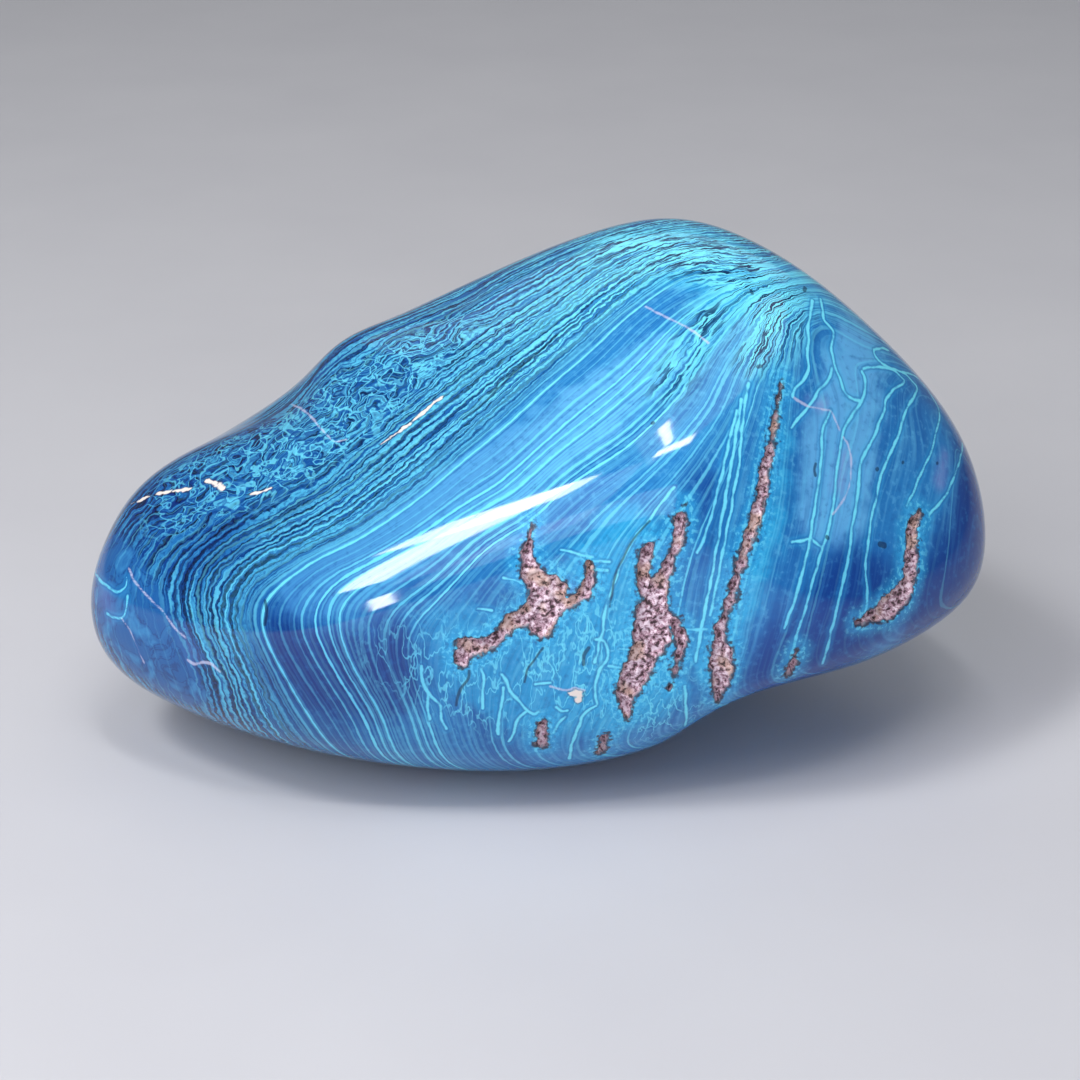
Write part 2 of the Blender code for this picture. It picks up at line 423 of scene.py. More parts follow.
# Bright seams that leave the bedding: the branching net on the right and the fine ones round the recesses.
VEINS = (
    hairline("net_inner", 0.16, (29.3, 21.7), (28.9, 20.3), (28.6, 18.8), (28.5, 17.0), (28.3, 15.2),
             (28.4, 13.8), (27.7, 12.7), (26.9, 11.8), (26.5, 10.8)),
    hairline("net_middle", 0.16, (30.3, 22.0), (30.3, 20.8), (30.4, 19.6), (31.1, 18.8), (31.5, 18.1),
             (31.2, 16.9), (31.1, 16.0), (31.3, 14.9), (31.6, 14.0), (32.1, 12.9), (32.4, 11.8),
             (33.1, 11.0), (34.3, 10.7)),
    hairline("net_branch", 0.16, (31.1, 14.2), (30.9, 13.3), (30.2, 12.3), (29.5, 11.7), (28.8, 10.5),
             (28.1, 9.6), (27.3, 8.8), (26.6, 8.0), (26.3, 7.5)),
    hairline("outer_seam", 0.16, (34.9, 14.2), (35.7, 14.5), (37.3, 14.6), (38.8, 14.3), (39.7, 13.6),
             (40.0, 13.1), (38.9, 12.3), (38.0, 11.6), (37.5, 10.9), (37.4, 9.9), (36.8, 8.8),
             (36.2, 7.4), (35.4, 6.0), (34.7, 4.7), (34.2, 3.5), (33.9, 0.4), (33.2, -2.9), (32.7, -6.0),
             (32.2, -8.4), (31.6, -11.0), (30.8, -14.5), (30.2, -18.0)),
    hairline("middle_seam", 0.16, (34.7, 13.9), (35.0, 13.2), (34.9, 11.4), (34.3, 10.3), (33.3, 8.9),
             (32.5, 7.7), (32.2, 6.8), (31.9, 5.3), (31.5, 3.3), (31.1, 0.2), (30.6, -2.7), (29.9, -4.9),
             (28.9, -7.9), (28.2, -10.4), (27.2, -14.0), (26.4, -17.2)),
    hairline("inner_seam", 0.16, (30.8, 9.5), (30.2, 8.1), (29.9, 7.2), (29.6, 3.7), (28.9, -0.7),
             (28.2, -4.7), (27.3, -8.4), (26.6, -11.0), (25.6, -14.0)),
    hairline("net_ear", 0.16, (38.7, 14.5), (37.5, 14.9), (36.6, 15.6), (36.4, 16.5), (37.4, 16.8),
             (38.4, 16.7)),
    hairline("far_seam", 0.16, (38.8, 14.5), (40.2, 14.1), (41.2, 13.2), (41.7, 12.5), (41.2, 11.5),
             (40.3, 10.3), (39.4, 8.4), (38.7, 6.6), (37.6, 4.5), (36.7, 2.7), (36.1, 0.2), (35.4, -2.4),
             (35.1, -4.7), (34.7, -6.7), (34.7, -8.4), (34.9, -11.1), (34.5, -14.0)),
    hairline("hook_seam", 0.14, (39.9, 14.3), (41.7, 14.0), (43.0, 12.9), (43.9, 11.5), (44.5, 10.1),
             (44.2, 8.6), (43.6, 7.0), (43.0, 5.3), (41.9, 3.3), (40.8, 1.2), (39.7, -0.8)),
    hairline("end_seam", 0.16, (47.6, 6.5), (46.9, 4.6), (45.8, 2.4), (44.4, 0.1), (42.5, -1.7)),
    hairline("vein_seam_near", 0.14, (21.6, 12.2), (20.9, 8.1), (20.4, 3.6), (19.6, -0.8), (18.6, -6.4),
             (17.5, -12.5)),
    hairline("vein_seam_middle", 0.16, (20.8, 10.4), (19.8, 4.8), (18.8, -0.8), (17.7, -7.6),
             (16.6, -13.9), (16.1, -17.6)),
    hairline("vein_seam_far", 0.14, (20.2, 9.2), (19.4, 5.9), (18.3, 1.4), (17.1, -3.1), (16.0, -5.9)),
    hairline("fork_seam", 0.14, (13.4, 1.0), (11.1, -2.0), (9.4, -4.2), (7.7, -7.6), (6.6, -10.9),
             (6.0, -14.3), (5.3, -17.6)),
    hairline("twig_tick_upper", 0.16, (5.0, -6.8), (6.7, -6.8)),
    hairline("twig_tick_lower", 0.16, (5.0, -7.6), (6.5, -7.7)),
    hairline("fork_tick", 0.14, (14.4, -14.2), (17.1, -14.0)),
    hairline("fork_tick_left", 0.12, (7.9, -16.1), (9.2, -16.2)),
    hairline("seam_tick", 0.12, (26.2, -4.8), (27.7, -4.5), (28.4, -4.4)),
    hairline("seam_tick_low", 0.12, (28.7, -4.7), (29.6, -5.3)),
    hairline("arm_tick", 0.12, (-7.2, -11.8), (-5.7, -12.0)),
    hairline("trunk_tick", 0.12, (-4.4, -8.5), (-3.1, -8.8), (-2.5, -9.2)),
    hairline("shelf", 0.12, (1.6, -5.5), (3.9, -6.2), (5.0, -6.4)),
    hairline("foot_far_left", 0.16, (-13.3, -18.0), (-13.2, -19.3), (-12.6, -20.9), (-11.8, -21.8),
             (-11.3, -22.4), (-11.3, -23.9), (-10.8, -25.0)),
    hairline("foot_left_branch", 0.14, (-12.6, -21.0), (-12.7, -22.5), (-12.5, -23.9)),
    hairline("foot_left", 0.14, (-6.9, -18.2), (-6.6, -19.1), (-6.7, -20.9), (-6.8, -22.7)),
    hairline("foot_stem", 0.16, (-4.5, -20.4), (-4.7, -22.0), (-5.1, -24.1), (-5.2, -25.7)),
    hairline("foot_slant", 0.14, (-4.7, -18.9), (-4.1, -19.8), (-3.8, -20.9), (-3.0, -21.8),
             (-2.3, -22.7), (-1.4, -23.4), (-0.8, -23.1)),
    hairline("foot_middle", 0.16, (5.4, -22.5), (4.4, -23.1), (3.8, -24.1), (3.3, -25.6), (2.8, -27.0),
             (2.7, -28.7)),
    hairline("foot_winding", 0.14, (5.4, -15.1), (6.3, -15.3), (6.6, -16.2), (6.5, -17.3), (5.8, -18.4),
             (5.4, -19.8), (5.3, -21.2), (5.5, -22.3)),
    hairline("foot_stub", 0.12, (6.7, -18.0), (8.0, -18.2)),
    hairline("foot_right", 0.15, (15.0, -20.3), (15.2, -21.9), (15.4, -24.3), (15.3, -25.1)),
    hairline("foot_low", 0.14, (-2.1, -23.2), (-3.0, -23.9), (-3.4, -25.3), (-4.1, -26.5)),
    hairline("foot_low_right", 0.14, (2.2, -23.7), (1.4, -24.4), (0.8, -25.5)),
    hairline("chip_wing", 0.14, (-1.0, -20.0), (0.5, -19.9)),
    hairline("chip_foot", 0.14, (1.1, -22.5), (1.7, -23.0), (2.3, -23.0)),
    hairline("nose_edge", 0.14, (-51.5, -8.2), (-49.6, -9.5), (-47.9, -10.3), (-46.8, -9.8),
             (-46.7, -8.7)),
    hairline("nose_edge_low", 0.14, (-46.5, -10.8), (-46.9, -13.0), (-48.0, -13.3), (-49.3, -12.8)),
)

# Healed cracks: hair-thin pinkish-white lines.
CRACKS = (
    hairline("summit_crack", 0.14, (11.0, 21.1), (12.5, 20.1), (14.0, 19.2), (15.5, 18.3), (16.5, 17.5),
             (17.5, 16.6)),
    hairline("shoulder_crack", 0.14, (26.7, 10.7), (27.8, 10.1), (28.5, 9.8), (29.9, 9.6), (30.8, 9.5),
             (31.4, 8.4), (31.8, 7.3)),
    hairline("lens_edge", 0.14, (32.3, 6.6), (32.9, 5.7), (33.1, 3.7), (32.8, 1.3), (31.9, -0.5),
             (30.9, -1.8)),
    hairline("crest_arc", 0.14, (-31.5, 11.5), (-29.4, 11.2), (-27.4, 10.1), (-25.8, 8.7), (-24.4, 7.2),
             (-23.3, 6.4), (-22.0, 6.6)),
    hairline("nose_hook", 0.2, (-39.3, -17.7), (-38.5, -18.1), (-37.4, -17.9), (-36.4, -18.1),
             (-35.6, -18.9)),
    hairline("chip_arm", 0.16, (0.5, -20.3), (2.3, -20.7), (3.2, -20.5), (4.1, -20.7)),
    hairline("nose_vein", 0.14, (-46.5, -7.6), (-45.5, -9.2), (-43.9, -10.8), (-42.1, -12.4),
             (-40.7, -14.2), (-39.4, -15.2)),
    hairline("nose_vein_low", 0.14, (-47.3, -13.3), (-46.3, -14.6), (-45.6, -16.2), (-44.9, -18.2)),
)

# Dark slits, specks of old bark and the dark companions of a few seams.
SLITS = (
    hairline("summit_line", 0.14, (1.2, 18.0), (-0.2, 16.6), (-2.0, 15.0), (-4.2, 13.1), (-6.5, 10.6),
             (-8.9, 8.7)),
    hairline("fork_line", 0.1, (10.8, -2.5), (9.9, -3.6), (8.9, -4.9), (8.2, -6.4), (7.4, -7.9),
             (7.1, -9.2), (6.8, -11.6)),
    hairline("slit_long", 0.1, (-0.3, -16.0), (-1.2, -17.3), (-1.9, -18.4), (-2.3, -19.8)),
    hairline("slit_short", 0.16, (4.6, -16.0), (4.1, -16.9), (4.0, -17.9)),
    hairline("slit_left", 0.14, (-8.2, -18.6), (-8.3, -19.3), (-9.0, -20.2), (-9.4, -21.3),
             (-9.6, -22.4)),
    hairline("slit_nose", 0.16, (-30.2, -11.1), (-30.0, -12.2), (-30.2, -13.7)),
    hairline("speck_long", 0.16, (29.0, 3.6), (28.8, 3.0), (28.9, 2.4)),
    hairline("speck_left", 0.2, (36.2, 3.2), (36.3, 3.3)),
    hairline("speck_right", 0.16, (39.3, 4.0), (39.4, 4.1)),
    hairline("speck_far", 0.16, (43.7, 4.0), (43.8, 4.1)),
    hairline("speck_low", 0.22, (30.2, -4.2), (30.3, -4.3)),
    hairline("speck_wide", 0.3, (36.4, -5.0), (37.0, -5.1)),
    hairline("speck_vein", 0.22, (22.7, 14.0), (22.9, 14.1)),
    hairline("speck_ridge", 0.2, (11.2, 7.8), (11.3, 7.9)),
    hairline("speck_net_low", 0.2, (28.4, 22.8), (28.6, 23.2)),
    hairline("speck_net_high", 0.16, (22.5, 22.2), (22.4, 22.7)),
)

# Cream flecks and chips in the skin.
FLECKS = (
    Stroke("nose_streak", ((-47.5, -0.5, 0.1), (-44.0, 0.7, 0.2), (-40.0, 1.2, 0.3))),
    Stroke("nose_lump", ((-38.2, 2.2, 0.2), (-37.2, 1.9, 0.3), (-36.0, 1.2, 0.4))),
    Stroke("nose_chip", ((-32.5, 0.6, 0.2), (-31.4, 0.8, 0.3), (-30.3, 1.2, 0.2))),
    Stroke("slope_streak", (
        (-18.0, 6.0, 0.1), (-15.0, 8.2, 0.3), (-13.0, 10.0, 0.2), (-11.0, 11.6, 0.1))),
    Stroke("front_chip", ((2.4, -21.0, 0.1), (3.6, -21.2, 0.4), (3.6, -21.8, 0.3))),
)

# Zones with a make-up of their own: colour, painted shade on the low parts and the nose, contorted beds,
# beds that crowd together again below the summit, and calm ground among the recesses, where the beds hardly
# show.
ZONES: dict[Mark, tuple[Stroke, ...]] = {
    Mark.TURMOIL: (
        Stroke("contorted_slope", (
            (-40.0, 1.0, 6.0), (-30.0, 6.0, 8.0), (-20.0, 12.0, 6.0), (-11.0, 19.0, 3.0))),
    ),
    Mark.PALE: (
        Stroke("pale_band", (
            (-25.0, -10.0, 4.0), (-14.0, -3.0, 5.0), (2.0, 7.0, 5.0), (12.0, 15.0, 3.0))),
        Stroke("pale_right", ((35.0, 18.0, 3.0), (32.0, 6.0, 5.0), (31.0, -2.0, 4.0))),
    ),
    # Painted shade: darker blue on the low right side, the right end, the left foot and the nose, where the
    # stone lies in shade; and a darker streak by the fork.
    Mark.DEEP: (
        Stroke("painted_shade_right", ((33.0, -12.0, 7.0), (28.0, -18.0, 7.0))),
        Stroke("painted_shade_end", ((48.0, 4.0, 3.0), (48.0, -6.0, 6.0), (43.0, -12.0, 5.0))),
        Stroke("painted_shade_left_foot", ((-27.0, -18.0, 5.0), (-18.0, -20.0, 5.0), (-16.0, -15.0, 2.0))),
        Stroke("deep_fork", ((17.2, 1.0, 1.6), (16.8, -5.0, 1.0))),
        Stroke("painted_shade_nose", ((-44.0, 0.0, 5.0), (-37.0, -5.0, 5.0))),
    ),
    Mark.BRIGHT: (
        Stroke("bright_front", (
            (-12.0, -15.0, 4.0), (-2.0, -19.0, 7.0), (9.0, -20.0, 6.0), (6.0, -12.0, 6.0),
            (8.0, -5.0, 4.0))),
        Stroke("bright_vein", (
            (26.0, 6.0, 0.5), (24.5, -2.0, 1.1), (22.0, -9.0, 1.5), (18.0, -18.0, 1.8))),
        Stroke("bright_summit", ((2.0, 24.0, 5.0), (15.0, 27.0, 5.0), (23.0, 20.0, 2.0))),
    ),
    Mark.MARBLE: (
        Stroke("marbled_nose", (
            (-50.0, -7.0, 3.0), (-48.0, -11.0, 5.0), (-44.5, -16.0, 5.5), (-41.0, -20.0, 3.5))),
    ),
    Mark.STAIN: (
        Stroke("violet_nose", ((-39.5, -15.0, 0.8), (-38.5, -17.2, 1.2))),
        Stroke("violet_end", ((-49.5, -11.0, 2.0), (-49.0, -12.5, 1.5))),
        Stroke("violet_lens", ((32.2, 4.5, 0.8), (31.5, 1.0, 0.8))),
        Stroke("violet_shoulder", ((28.5, 10.5, 0.3), (30.0, 10.0, 0.8))),
        Stroke("violet_far", ((44.8, 5.0, 0.6), (44.0, 2.0, 1.0))),
        Stroke("violet_twig", ((2.0, -9.5, 1.0), (3.5, -10.0, 0.8))),
    ),
    Mark.NET: (
        Stroke("netted_summit", (
            (8.0, 29.0, 3.0), (18.0, 26.5, 4.0), (25.0, 21.5, 4.0), (22.5, 15.0, 2.0))),
        Stroke("netted_slope", ((18.0, 20.0, 2.0), (13.0, 12.0, 1.5))),
    ),
    Mark.CALM: (
        Stroke("calm_foot", (
            (-15.0, -17.0, 3.5), (-7.0, -19.0, 6.5), (4.0, -17.0, 7.5), (12.0, -23.0, 5.0))),
    ),
}

# Beds in the order from the crest to the right end: the lines in which they meet the skin.
BEDS = (
    Bed(0, ((-49.5, -7.0), (-45.0, 0.0), (-37.0, 5.0), (-28.0, 11.5), (-19.0, 18.5), (-10.0, 23.0),
            (1.5, 29.0), (11.0, 32.0))),
    Bed(6, ((-44.0, -7.0), (-38.5, -2.5), (-30.5, 2.0), (-22.0, 9.0), (-10.5, 17.0), (0.5, 24.0),
            (10.5, 29.5), (17.5, 30.5))),
    Bed(12, ((-35.0, -19.5), (-37.0, -16.5), (-38.0, -12.5), (-39.0, -8.5), (-36.0, -5.5), (-29.0, -1.5),
             (-18.0, 7.5), (-7.5, 15.5), (4.0, 23.5), (13.0, 28.5), (19.5, 29.5))),
    Bed(20, ((-31.0, -20.5), (-33.0, -16.0), (-34.0, -12.0), (-33.0, -10.0), (-27.5, -7.0),
             (-21.5, -4.0), (-12.5, 3.5), (-3.0, 12.5), (6.0, 20.5), (15.0, 27.0), (22.5, 26.5))),
    Bed(24, ((-28.0, -21.0), (-30.5, -15.5), (-31.0, -12.0), (-29.5, -9.5), (-25.5, -6.5), (-19.0, -3.5),
             (-10.5, 3.0), (-0.5, 11.5), (8.0, 19.5), (17.0, 25.5), (25.0, 25.0))),
    Bed(27, ((-23.5, -22.0), (-26.5, -16.5), (-27.5, -12.5), (-26.0, -9.5), (-22.5, -7.0), (-17.0, -4.5),
             (-8.0, 2.5), (1.5, 11.0), (10.5, 19.0), (18.5, 23.5), (27.5, 23.5))),
    Bed(30, ((-18.0, -24.0), (-20.5, -20.0), (-22.5, -15.0), (-23.0, -11.5), (-21.5, -9.0),
             (-13.5, -5.0), (-5.0, 0.0), (4.5, 9.0), (13.0, 16.5), (20.5, 22.5))),
    Bed(33, ((-16.0, -24.5), (-18.5, -19.0), (-19.5, -13.5), (-17.5, -10.5), (-11.0, -6.5), (-2.5, -1.0),
             (5.5, 6.0), (13.0, 13.0), (19.5, 20.0))),
    Bed(36, ((-12.5, -25.0), (-14.5, -18.5), (-14.0, -13.0), (-10.5, -10.0), (-6.5, -5.0), (1.5, 0.5),
             (10.0, 6.5), (16.0, 13.5), (21.5, 20.5))),
    Bed(39, ((-9.0, -26.5), (-11.0, -20.5), (-10.0, -15.0), (-7.5, -11.0), (-3.0, -5.5), (3.0, -1.0),
             (11.0, 4.5), (17.0, 11.0), (22.0, 18.5))),
    Bed(42, ((-5.0, -27.0), (-4.5, -20.5), (-2.0, -15.0), (1.5, -10.0), (5.5, -4.0), (11.0, 1.5),
             (16.5, 7.5), (21.0, 15.5), (25.5, 21.5))),
    Bed(46, ((3.0, -28.0), (5.0, -22.0), (6.0, -17.0), (7.0, -11.0), (9.0, -5.0), (12.5, 0.5),
             (17.0, 6.0), (21.0, 13.0))),
    Bed(50, ((11.0, -27.0), (14.5, -20.5), (16.5, -13.0), (17.5, -6.5), (19.0, -1.5), (21.0, 6.5),
             (23.0, 13.5), (26.0, 20.5))),
    Bed(53, ((18.5, -22.0), (19.0, -18.0), (19.5, -12.5), (21.0, -6.0), (23.0, 1.5), (24.0, 7.0),
             (25.5, 13.5), (27.0, 20.0))),
    Bed(56, ((24.0, -19.5), (25.5, -15.5), (27.0, -10.5), (28.0, -5.0), (29.0, -1.5), (30.0, 5.5),
             (31.0, 10.0), (31.0, 16.0), (29.0, 22.0))),
    Bed(57, ((26.5, -18.5), (28.0, -10.5), (29.5, -5.5), (30.5, -2.5), (31.5, 3.0), (32.5, 8.0),
             (34.0, 13.5))),
    Bed(58, ((30.0, -15.5), (31.5, -11.0), (33.0, -3.5), (34.0, 1.5), (35.5, 6.0), (37.5, 11.5))),
    Bed(59, ((34.0, -15.5), (35.0, -10.0), (35.0, -5.5), (36.0, -1.0), (37.5, 4.0), (39.0, 9.0),
             (39.5, 14.0))),
    Bed(60, ((38.0, -14.5), (39.0, -8.0), (39.5, -2.5), (41.0, 1.5), (43.5, 6.5), (43.0, 12.5))),
    Bed(61, ((43.5, -12.0), (44.0, -7.0), (44.5, -1.0), (46.0, 4.0), (46.0, 8.5))),
    Bed(62, ((47.0, -9.0), (48.0, -4.5), (48.5, 0.0))),
)


class BedField:
    """Smooth numbering of the beds through the stone, led by the lines where they meet its skin."""

    def __init__(self, knots: Array, values: Array, softness: float = 0.004, slack: float = 0.0015) -> None:
        """Fit the field.

        Args:
            knots: Points where the value is known, one a row.
            values: Known values.
            softness: Size of the smallest bend that the field shows, in metres.
            slack: How far the field may leave the known values for a smoother run, in metres.
        """
        self.knots = knots
        self.softness = softness
        spread = np.sqrt(((knots[:, None] - knots[None]) ** 2).sum(axis=2) + softness**2)
        plane = np.column_stack([np.ones(len(knots)), knots])
        matrix = np.block([[spread - slack * np.identity(len(knots)), plane], [plane.T, np.zeros((4, 4))]])
        solved = np.linalg.lstsq(matrix, np.concatenate([values, np.zeros(4)]), rcond=None)[0]
        self.weights = solved[: len(knots)]
        self.plane = solved[len(knots) :]

    def at(self, points: Array) -> tuple[Array, Array]:
        """Read the field.

        Args:
            points: Places to read, one a row.

        Returns:
            The value at each point, and its slope there in units a metre.
        """
        values = np.empty(len(points))
        slopes = np.empty((len(points), 3))
        for first in range(0, len(points), POINTS_AT_ONCE):
            part = slice(first, first + POINTS_AT_ONCE)
            offsets = points[part, None] - self.knots[None]
            spread = np.sqrt((offsets**2).sum(axis=2) + self.softness**2)
            values[part] = spread @ self.weights + self.plane[0] + points[part] @ self.plane[1:]
            slopes[part] = np.einsum("pkc,pk->pc", offsets, self.weights / spread) + self.plane[1:]
        return values, slopes


class Tone(Enum):
    """Colours of the resin, its marks and its crust, as sRGB hex digits."""

    DEEP = "165ca6"
    MIDDLE = "2781c4"
    LIGHT = "62bee8"
    SEAM = "76e6fc"
    NAVY = "082c56"
    PALE = "70c0f2"
    BRIGHT = "2cace2"
    MARBLE = "3a8ac6"
    MARBLE_VEIN = "2b5f9c"
    HALO = "35b6ec"
    RIM = "33241f"
    VIOLET = "8f95cf"
    CRACK = "d5d4ee"
    SLIT = "0b1838"
    CREAM = "ece2da"
    CRUST = "b48e9e"
    # Pale crust grains, which also stand in as painted highlights on the raised lumps.
    CRUST_PALE_AND_HIGHLIGHT = "f8e4f0"
    # Dark crust grains, also used as painted shade on the recess walls.
    CRUST_DARK_AND_WALL_SHADE = "2e1f20"
    CRUST_CREAM = "d9b695"
    # Tints of painted shade, multiplied over the nose and over the low parts marked deep.
    NOSE_PAINTED_SHADE = "9cbcd6"
    LOW_PAINTED_SHADE = "9cc0e2"


@dataclass(frozen=True)
class Coat:
    """Tone that sets in where a field passes from one value to another."""

    tone: Tone
    clear: float
    full: float
    share: float = 1.0


@dataclass(frozen=True)
class Ramp:
    """Straight change from one value to another, while a field passes from its start to its end."""

    start: float
    end: float
    low: float = 0.0
    high: float = 1.0

    def inputs(self) -> dict[int, float]:
        """Node inputs that make the change."""
        return {1: self.start, 2: self.end, 3: self.low, 4: self.high}


@dataclass(frozen=True)
class Cloud:
    """Cloudy pattern: its lumps a millimetre, and how it is broken up."""

    lumps: float
    detail: float
    distortion: float = 0.0
    roughness: float = 0.5

    def inputs(self) -> dict[str, float]:
        """Node inputs that draw the pattern."""
        return {
            "Scale": self.lumps,
            "Detail": self.detail,
            "Distortion": self.distortion,
            "Roughness": self.roughness,
        }


@dataclass(frozen=True)
class Grain:
    """Cloudy pattern drawn out along the beds: lumps a bed, lumps a millimetre along it, finer layers."""

    across: float
    along: float
    detail: float


@dataclass(frozen=True)
class Winding:
    """Lines where a cloudy field crosses its middle, and the darker lip at one side of them."""

    line: Coat
    lip: Coat | None = None
    lip_shift: float = 0.0


class Graph:
    """Node tree of a material or of the surroundings."""

    def __init__(self, owner: bpy.types.Material | bpy.types.World) -> None:
        """Start the owner's nodes afresh."""
        owner.use_nodes = True
        self.owner = owner
        self.tree = owner.node_tree
        self.tree.nodes.clear()

    def add(
        self, kind: str, inputs: dict, out: int | str = 0, **settings: object
    ) -> bpy.types.NodeSocket | None:
        """Add one node with its settings and links.

        Args:
            kind: Node type, without its ShaderNode prefix.
            inputs: Value or source socket for each input, by name, or by number where names repeat: a
                colour Mix reads its two colours at 6 and 7.
            out: Output to hand back.
            settings: Properties of the node.

        Returns:
            The chosen output socket, or nothing where the node has none.
        """
        node = self.tree.nodes.new("ShaderNode" + kind)
        for name, value in settings.items():
            setattr(node, name, value)
        for key, value in inputs.items():
            if isinstance(value, bpy.types.NodeSocket):
                self.tree.links.new(value, node.inputs[key])
            else:
                node.inputs[key].default_value = value
        return node.outputs[out] if node.outputs else None

    def coat(self, under: object, coat: Coat, field: object, share: object = None) -> bpy.types.NodeSocket:
        """Lay a coat.

        Args:
            under: Colour below.
            coat: Tone to lay, and where it sets in.
            field: Value that leads the coat.
            share: How much a whole coat covers, where that varies over the stone.

        Returns:
            The colour with its new coat.
        """
        share = coat.share if share is None else share
        inputs = {0: field, 1: coat.clear, 2: coat.full, 3: 0.0, 4: share}
        cover = self.add("MapRange", inputs, interpolation_type="SMOOTHSTEP")
        return self.add("Mix", {0: cover, 6: under, 7: linear(coat.tone.value)}, out=2, data_type="RGBA")


@dataclass(frozen=True)
class AmberRecipe:
    """Make-up of the amber: its patterns, and the coats that lay them.

    Sizes and the gaps that lead coats are in millimetres. The finest real banding, about 0.1 mm, is
    drawn at 0.3 mm, because it would not show otherwise.
    """

    swirl: Cloud = Cloud(1 / 6.5, 1.0)
    swirl_beds: float = 5.0
    curl: Cloud = Cloud(1 / 2.0, 1.0)
    curl_beds: float = 1.4
    rag: Cloud = Cloud(1 / 1.3, 3.0)
    rag_reach: float = 0.65

    tone_grain: Grain = Grain(0.28, 0.02, 2.0)
    tone: Coat = Coat(Tone.MIDDLE, 0.38, 0.62)
    zone_edge: Cloud = Cloud(0.35, 4.0)
    zone_wave: float = 1.2
    zones: tuple[tuple[Mark, Coat], ...] = (
        (Mark.BRIGHT, Coat(Tone.BRIGHT, 0.75, 1.45, 0.75)),
        (Mark.PALE, Coat(Tone.PALE, 0.75, 1.45, 0.65)),
        # The deep zone: painted shade on the low parts and the nose.
        (Mark.DEEP, Coat(Tone.DEEP, 0.75, 1.45, 0.85)),
    )
    mottle: Cloud = Cloud(1.3, 4.0)
    mottle_light: Coat = Coat(Tone.LIGHT, 0.52, 0.72, 0.35)
    mottle_dark: Coat = Coat(Tone.DEEP, 0.48, 0.28, 0.40)
    dense_shade: Coat = Coat(Tone.DEEP, 0.0, 1.0, 0.60)
    turmoil_shade: Coat = Coat(Tone.DEEP, 0.0, 1.0, 0.35)
    brushed: Grain = Grain(5.0, 0.07, 3.0)
    brushed_light: Coat = Coat(Tone.LIGHT, 0.48, 0.72, 0.40)
    brushed_dark: Coat = Coat(Tone.DEEP, 0.48, 0.30, 0.35)

    banding: Grain = Grain(1.3, 0.045, 2.5)
    banding_shift: float = 0.26
    banding_breaks: Cloud = Cloud(2.3, 2.0)
    banding_cover: Ramp = Ramp(0.36, 0.54, 0.35, 1.0)
    banding_dark: Coat = Coat(Tone.NAVY, -0.012, -0.050)
    banding_light: Coat = Coat(Tone.SEAM, 0.016, 0.050)

    worn: Cloud = Cloud(0.9, 3.0)
    drift: Grain = Grain(0.45, 0.03, 2.0)
    drift_beds: float = 1.6
    seam_sets: tuple[tuple[float, float], ...] = ((1.0, 1.0), (2.3, 0.25))
    weak_seams: float = 0.30
    strong_seams: float = 0.60
    least_seam: float = 0.05
    seam_wear: float = 0.22
    seam_line: Coat = Coat(Tone.SEAM, 0.30, 0.18)
    seam_lip: Coat = Coat(Tone.DEEP, 0.288, 0.12)
    seam_lip_gap: float = 0.36
    seam_lip_share: float = 0.5

    vein_wear: float = 0.35
    vein_halo: Coat = Coat(Tone.HALO, 0.9, 0.2, 0.30)
    vein_lip: Coat = Coat(Tone.DEEP, 0.50, 0.30, 0.45)
    vein_line: Coat = Coat(Tone.SEAM, 0.25, 0.09, 0.95)

    contorted: tuple[Cloud, ...] = (Cloud(1 / 4.6, 2.5, 0.7), Cloud(1 / 2.8, 2.5, 0.5))
    contorted_cover: Ramp = Ramp(0.1, 0.8, 0.0, 0.65)
    contorted_lines: Winding = Winding(Coat(Tone.SEAM, 0.020, 0.006), Coat(Tone.DEEP, 0.024, 0.008), 0.03)
    wandering: Cloud = Cloud(1.0, 3.5)
    wandering_per_mm: tuple[float, float, float] = (0.42, 0.42, 0.16)
    wandering_starts: tuple[tuple[float, float, float], ...] = ((0.0, 0.0, 0.0), (7.3, 1.9, 4.1))
    wandering_cover: float = 0.6
    wandering_lines: Winding = Winding(Coat(Tone.SEAM, 0.016, 0.004))
    netted: Grain = Grain(0.9, 0.15, 3.0)
    netted_lines: Winding = Winding(Coat(Tone.SEAM, 0.060, 0.020), Coat(Tone.NAVY, 0.065, 0.020), 0.08)

    marbling: Cloud = Cloud(0.28, 4.0, 1.2)
    marble_wave: float = 0.5
    marble: Coat = Coat(Tone.MARBLE, 0.55, 0.70)
    marble_light: Coat = Coat(Tone.LIGHT, 0.50, 0.70)
    marble_veins: Winding = Winding(Coat(Tone.MARBLE_VEIN, 0.035, 0.0))
    marble_vein_share: float = 0.7
    stain: Coat = Coat(Tone.VIOLET, 0.25, 1.0, 0.75)

    # Painted shade towards the nose and on the low parts marked deep, laid under and again over the seams;
    # the nose shade runs along x from 8 mm to -32 mm.
    painted_shade_under_seams: float = 1.0
    painted_shade_over_seams: float = 0.4
    nose_shade_start: float = 8.0
    nose_shade_end: float = -32.0

    recess_halo: Coat = Coat(Tone.HALO, 2.2, 0.3, 0.45)
    speckle: Cloud = Cloud(1.9, 3.0)
    speckle_cover: Ramp = Ramp(1.9, 0.7, 0.0, 0.45)
    speckle_light: Coat = Coat(Tone.SEAM, 0.54, 0.64)
    speckle_dark: Coat = Coat(Tone.DEEP, 0.44, 0.36)
    rim_wear: float = 1.4
    rim: Coat = Coat(Tone.RIM, 1.02, 0.66, 0.85)
    crack: Coat = Coat(Tone.CRACK, 0.24, 0.06, 0.55)
    slit: Coat = Coat(Tone.SLIT, 0.10, -0.04, 0.7)
    fleck_wear: float = 1.2
    fleck_rim: Coat = Coat(Tone.RIM, 0.82, 0.68, 0.35)
    fleck: Coat = Coat(Tone.CREAM, 0.62, 0.44)

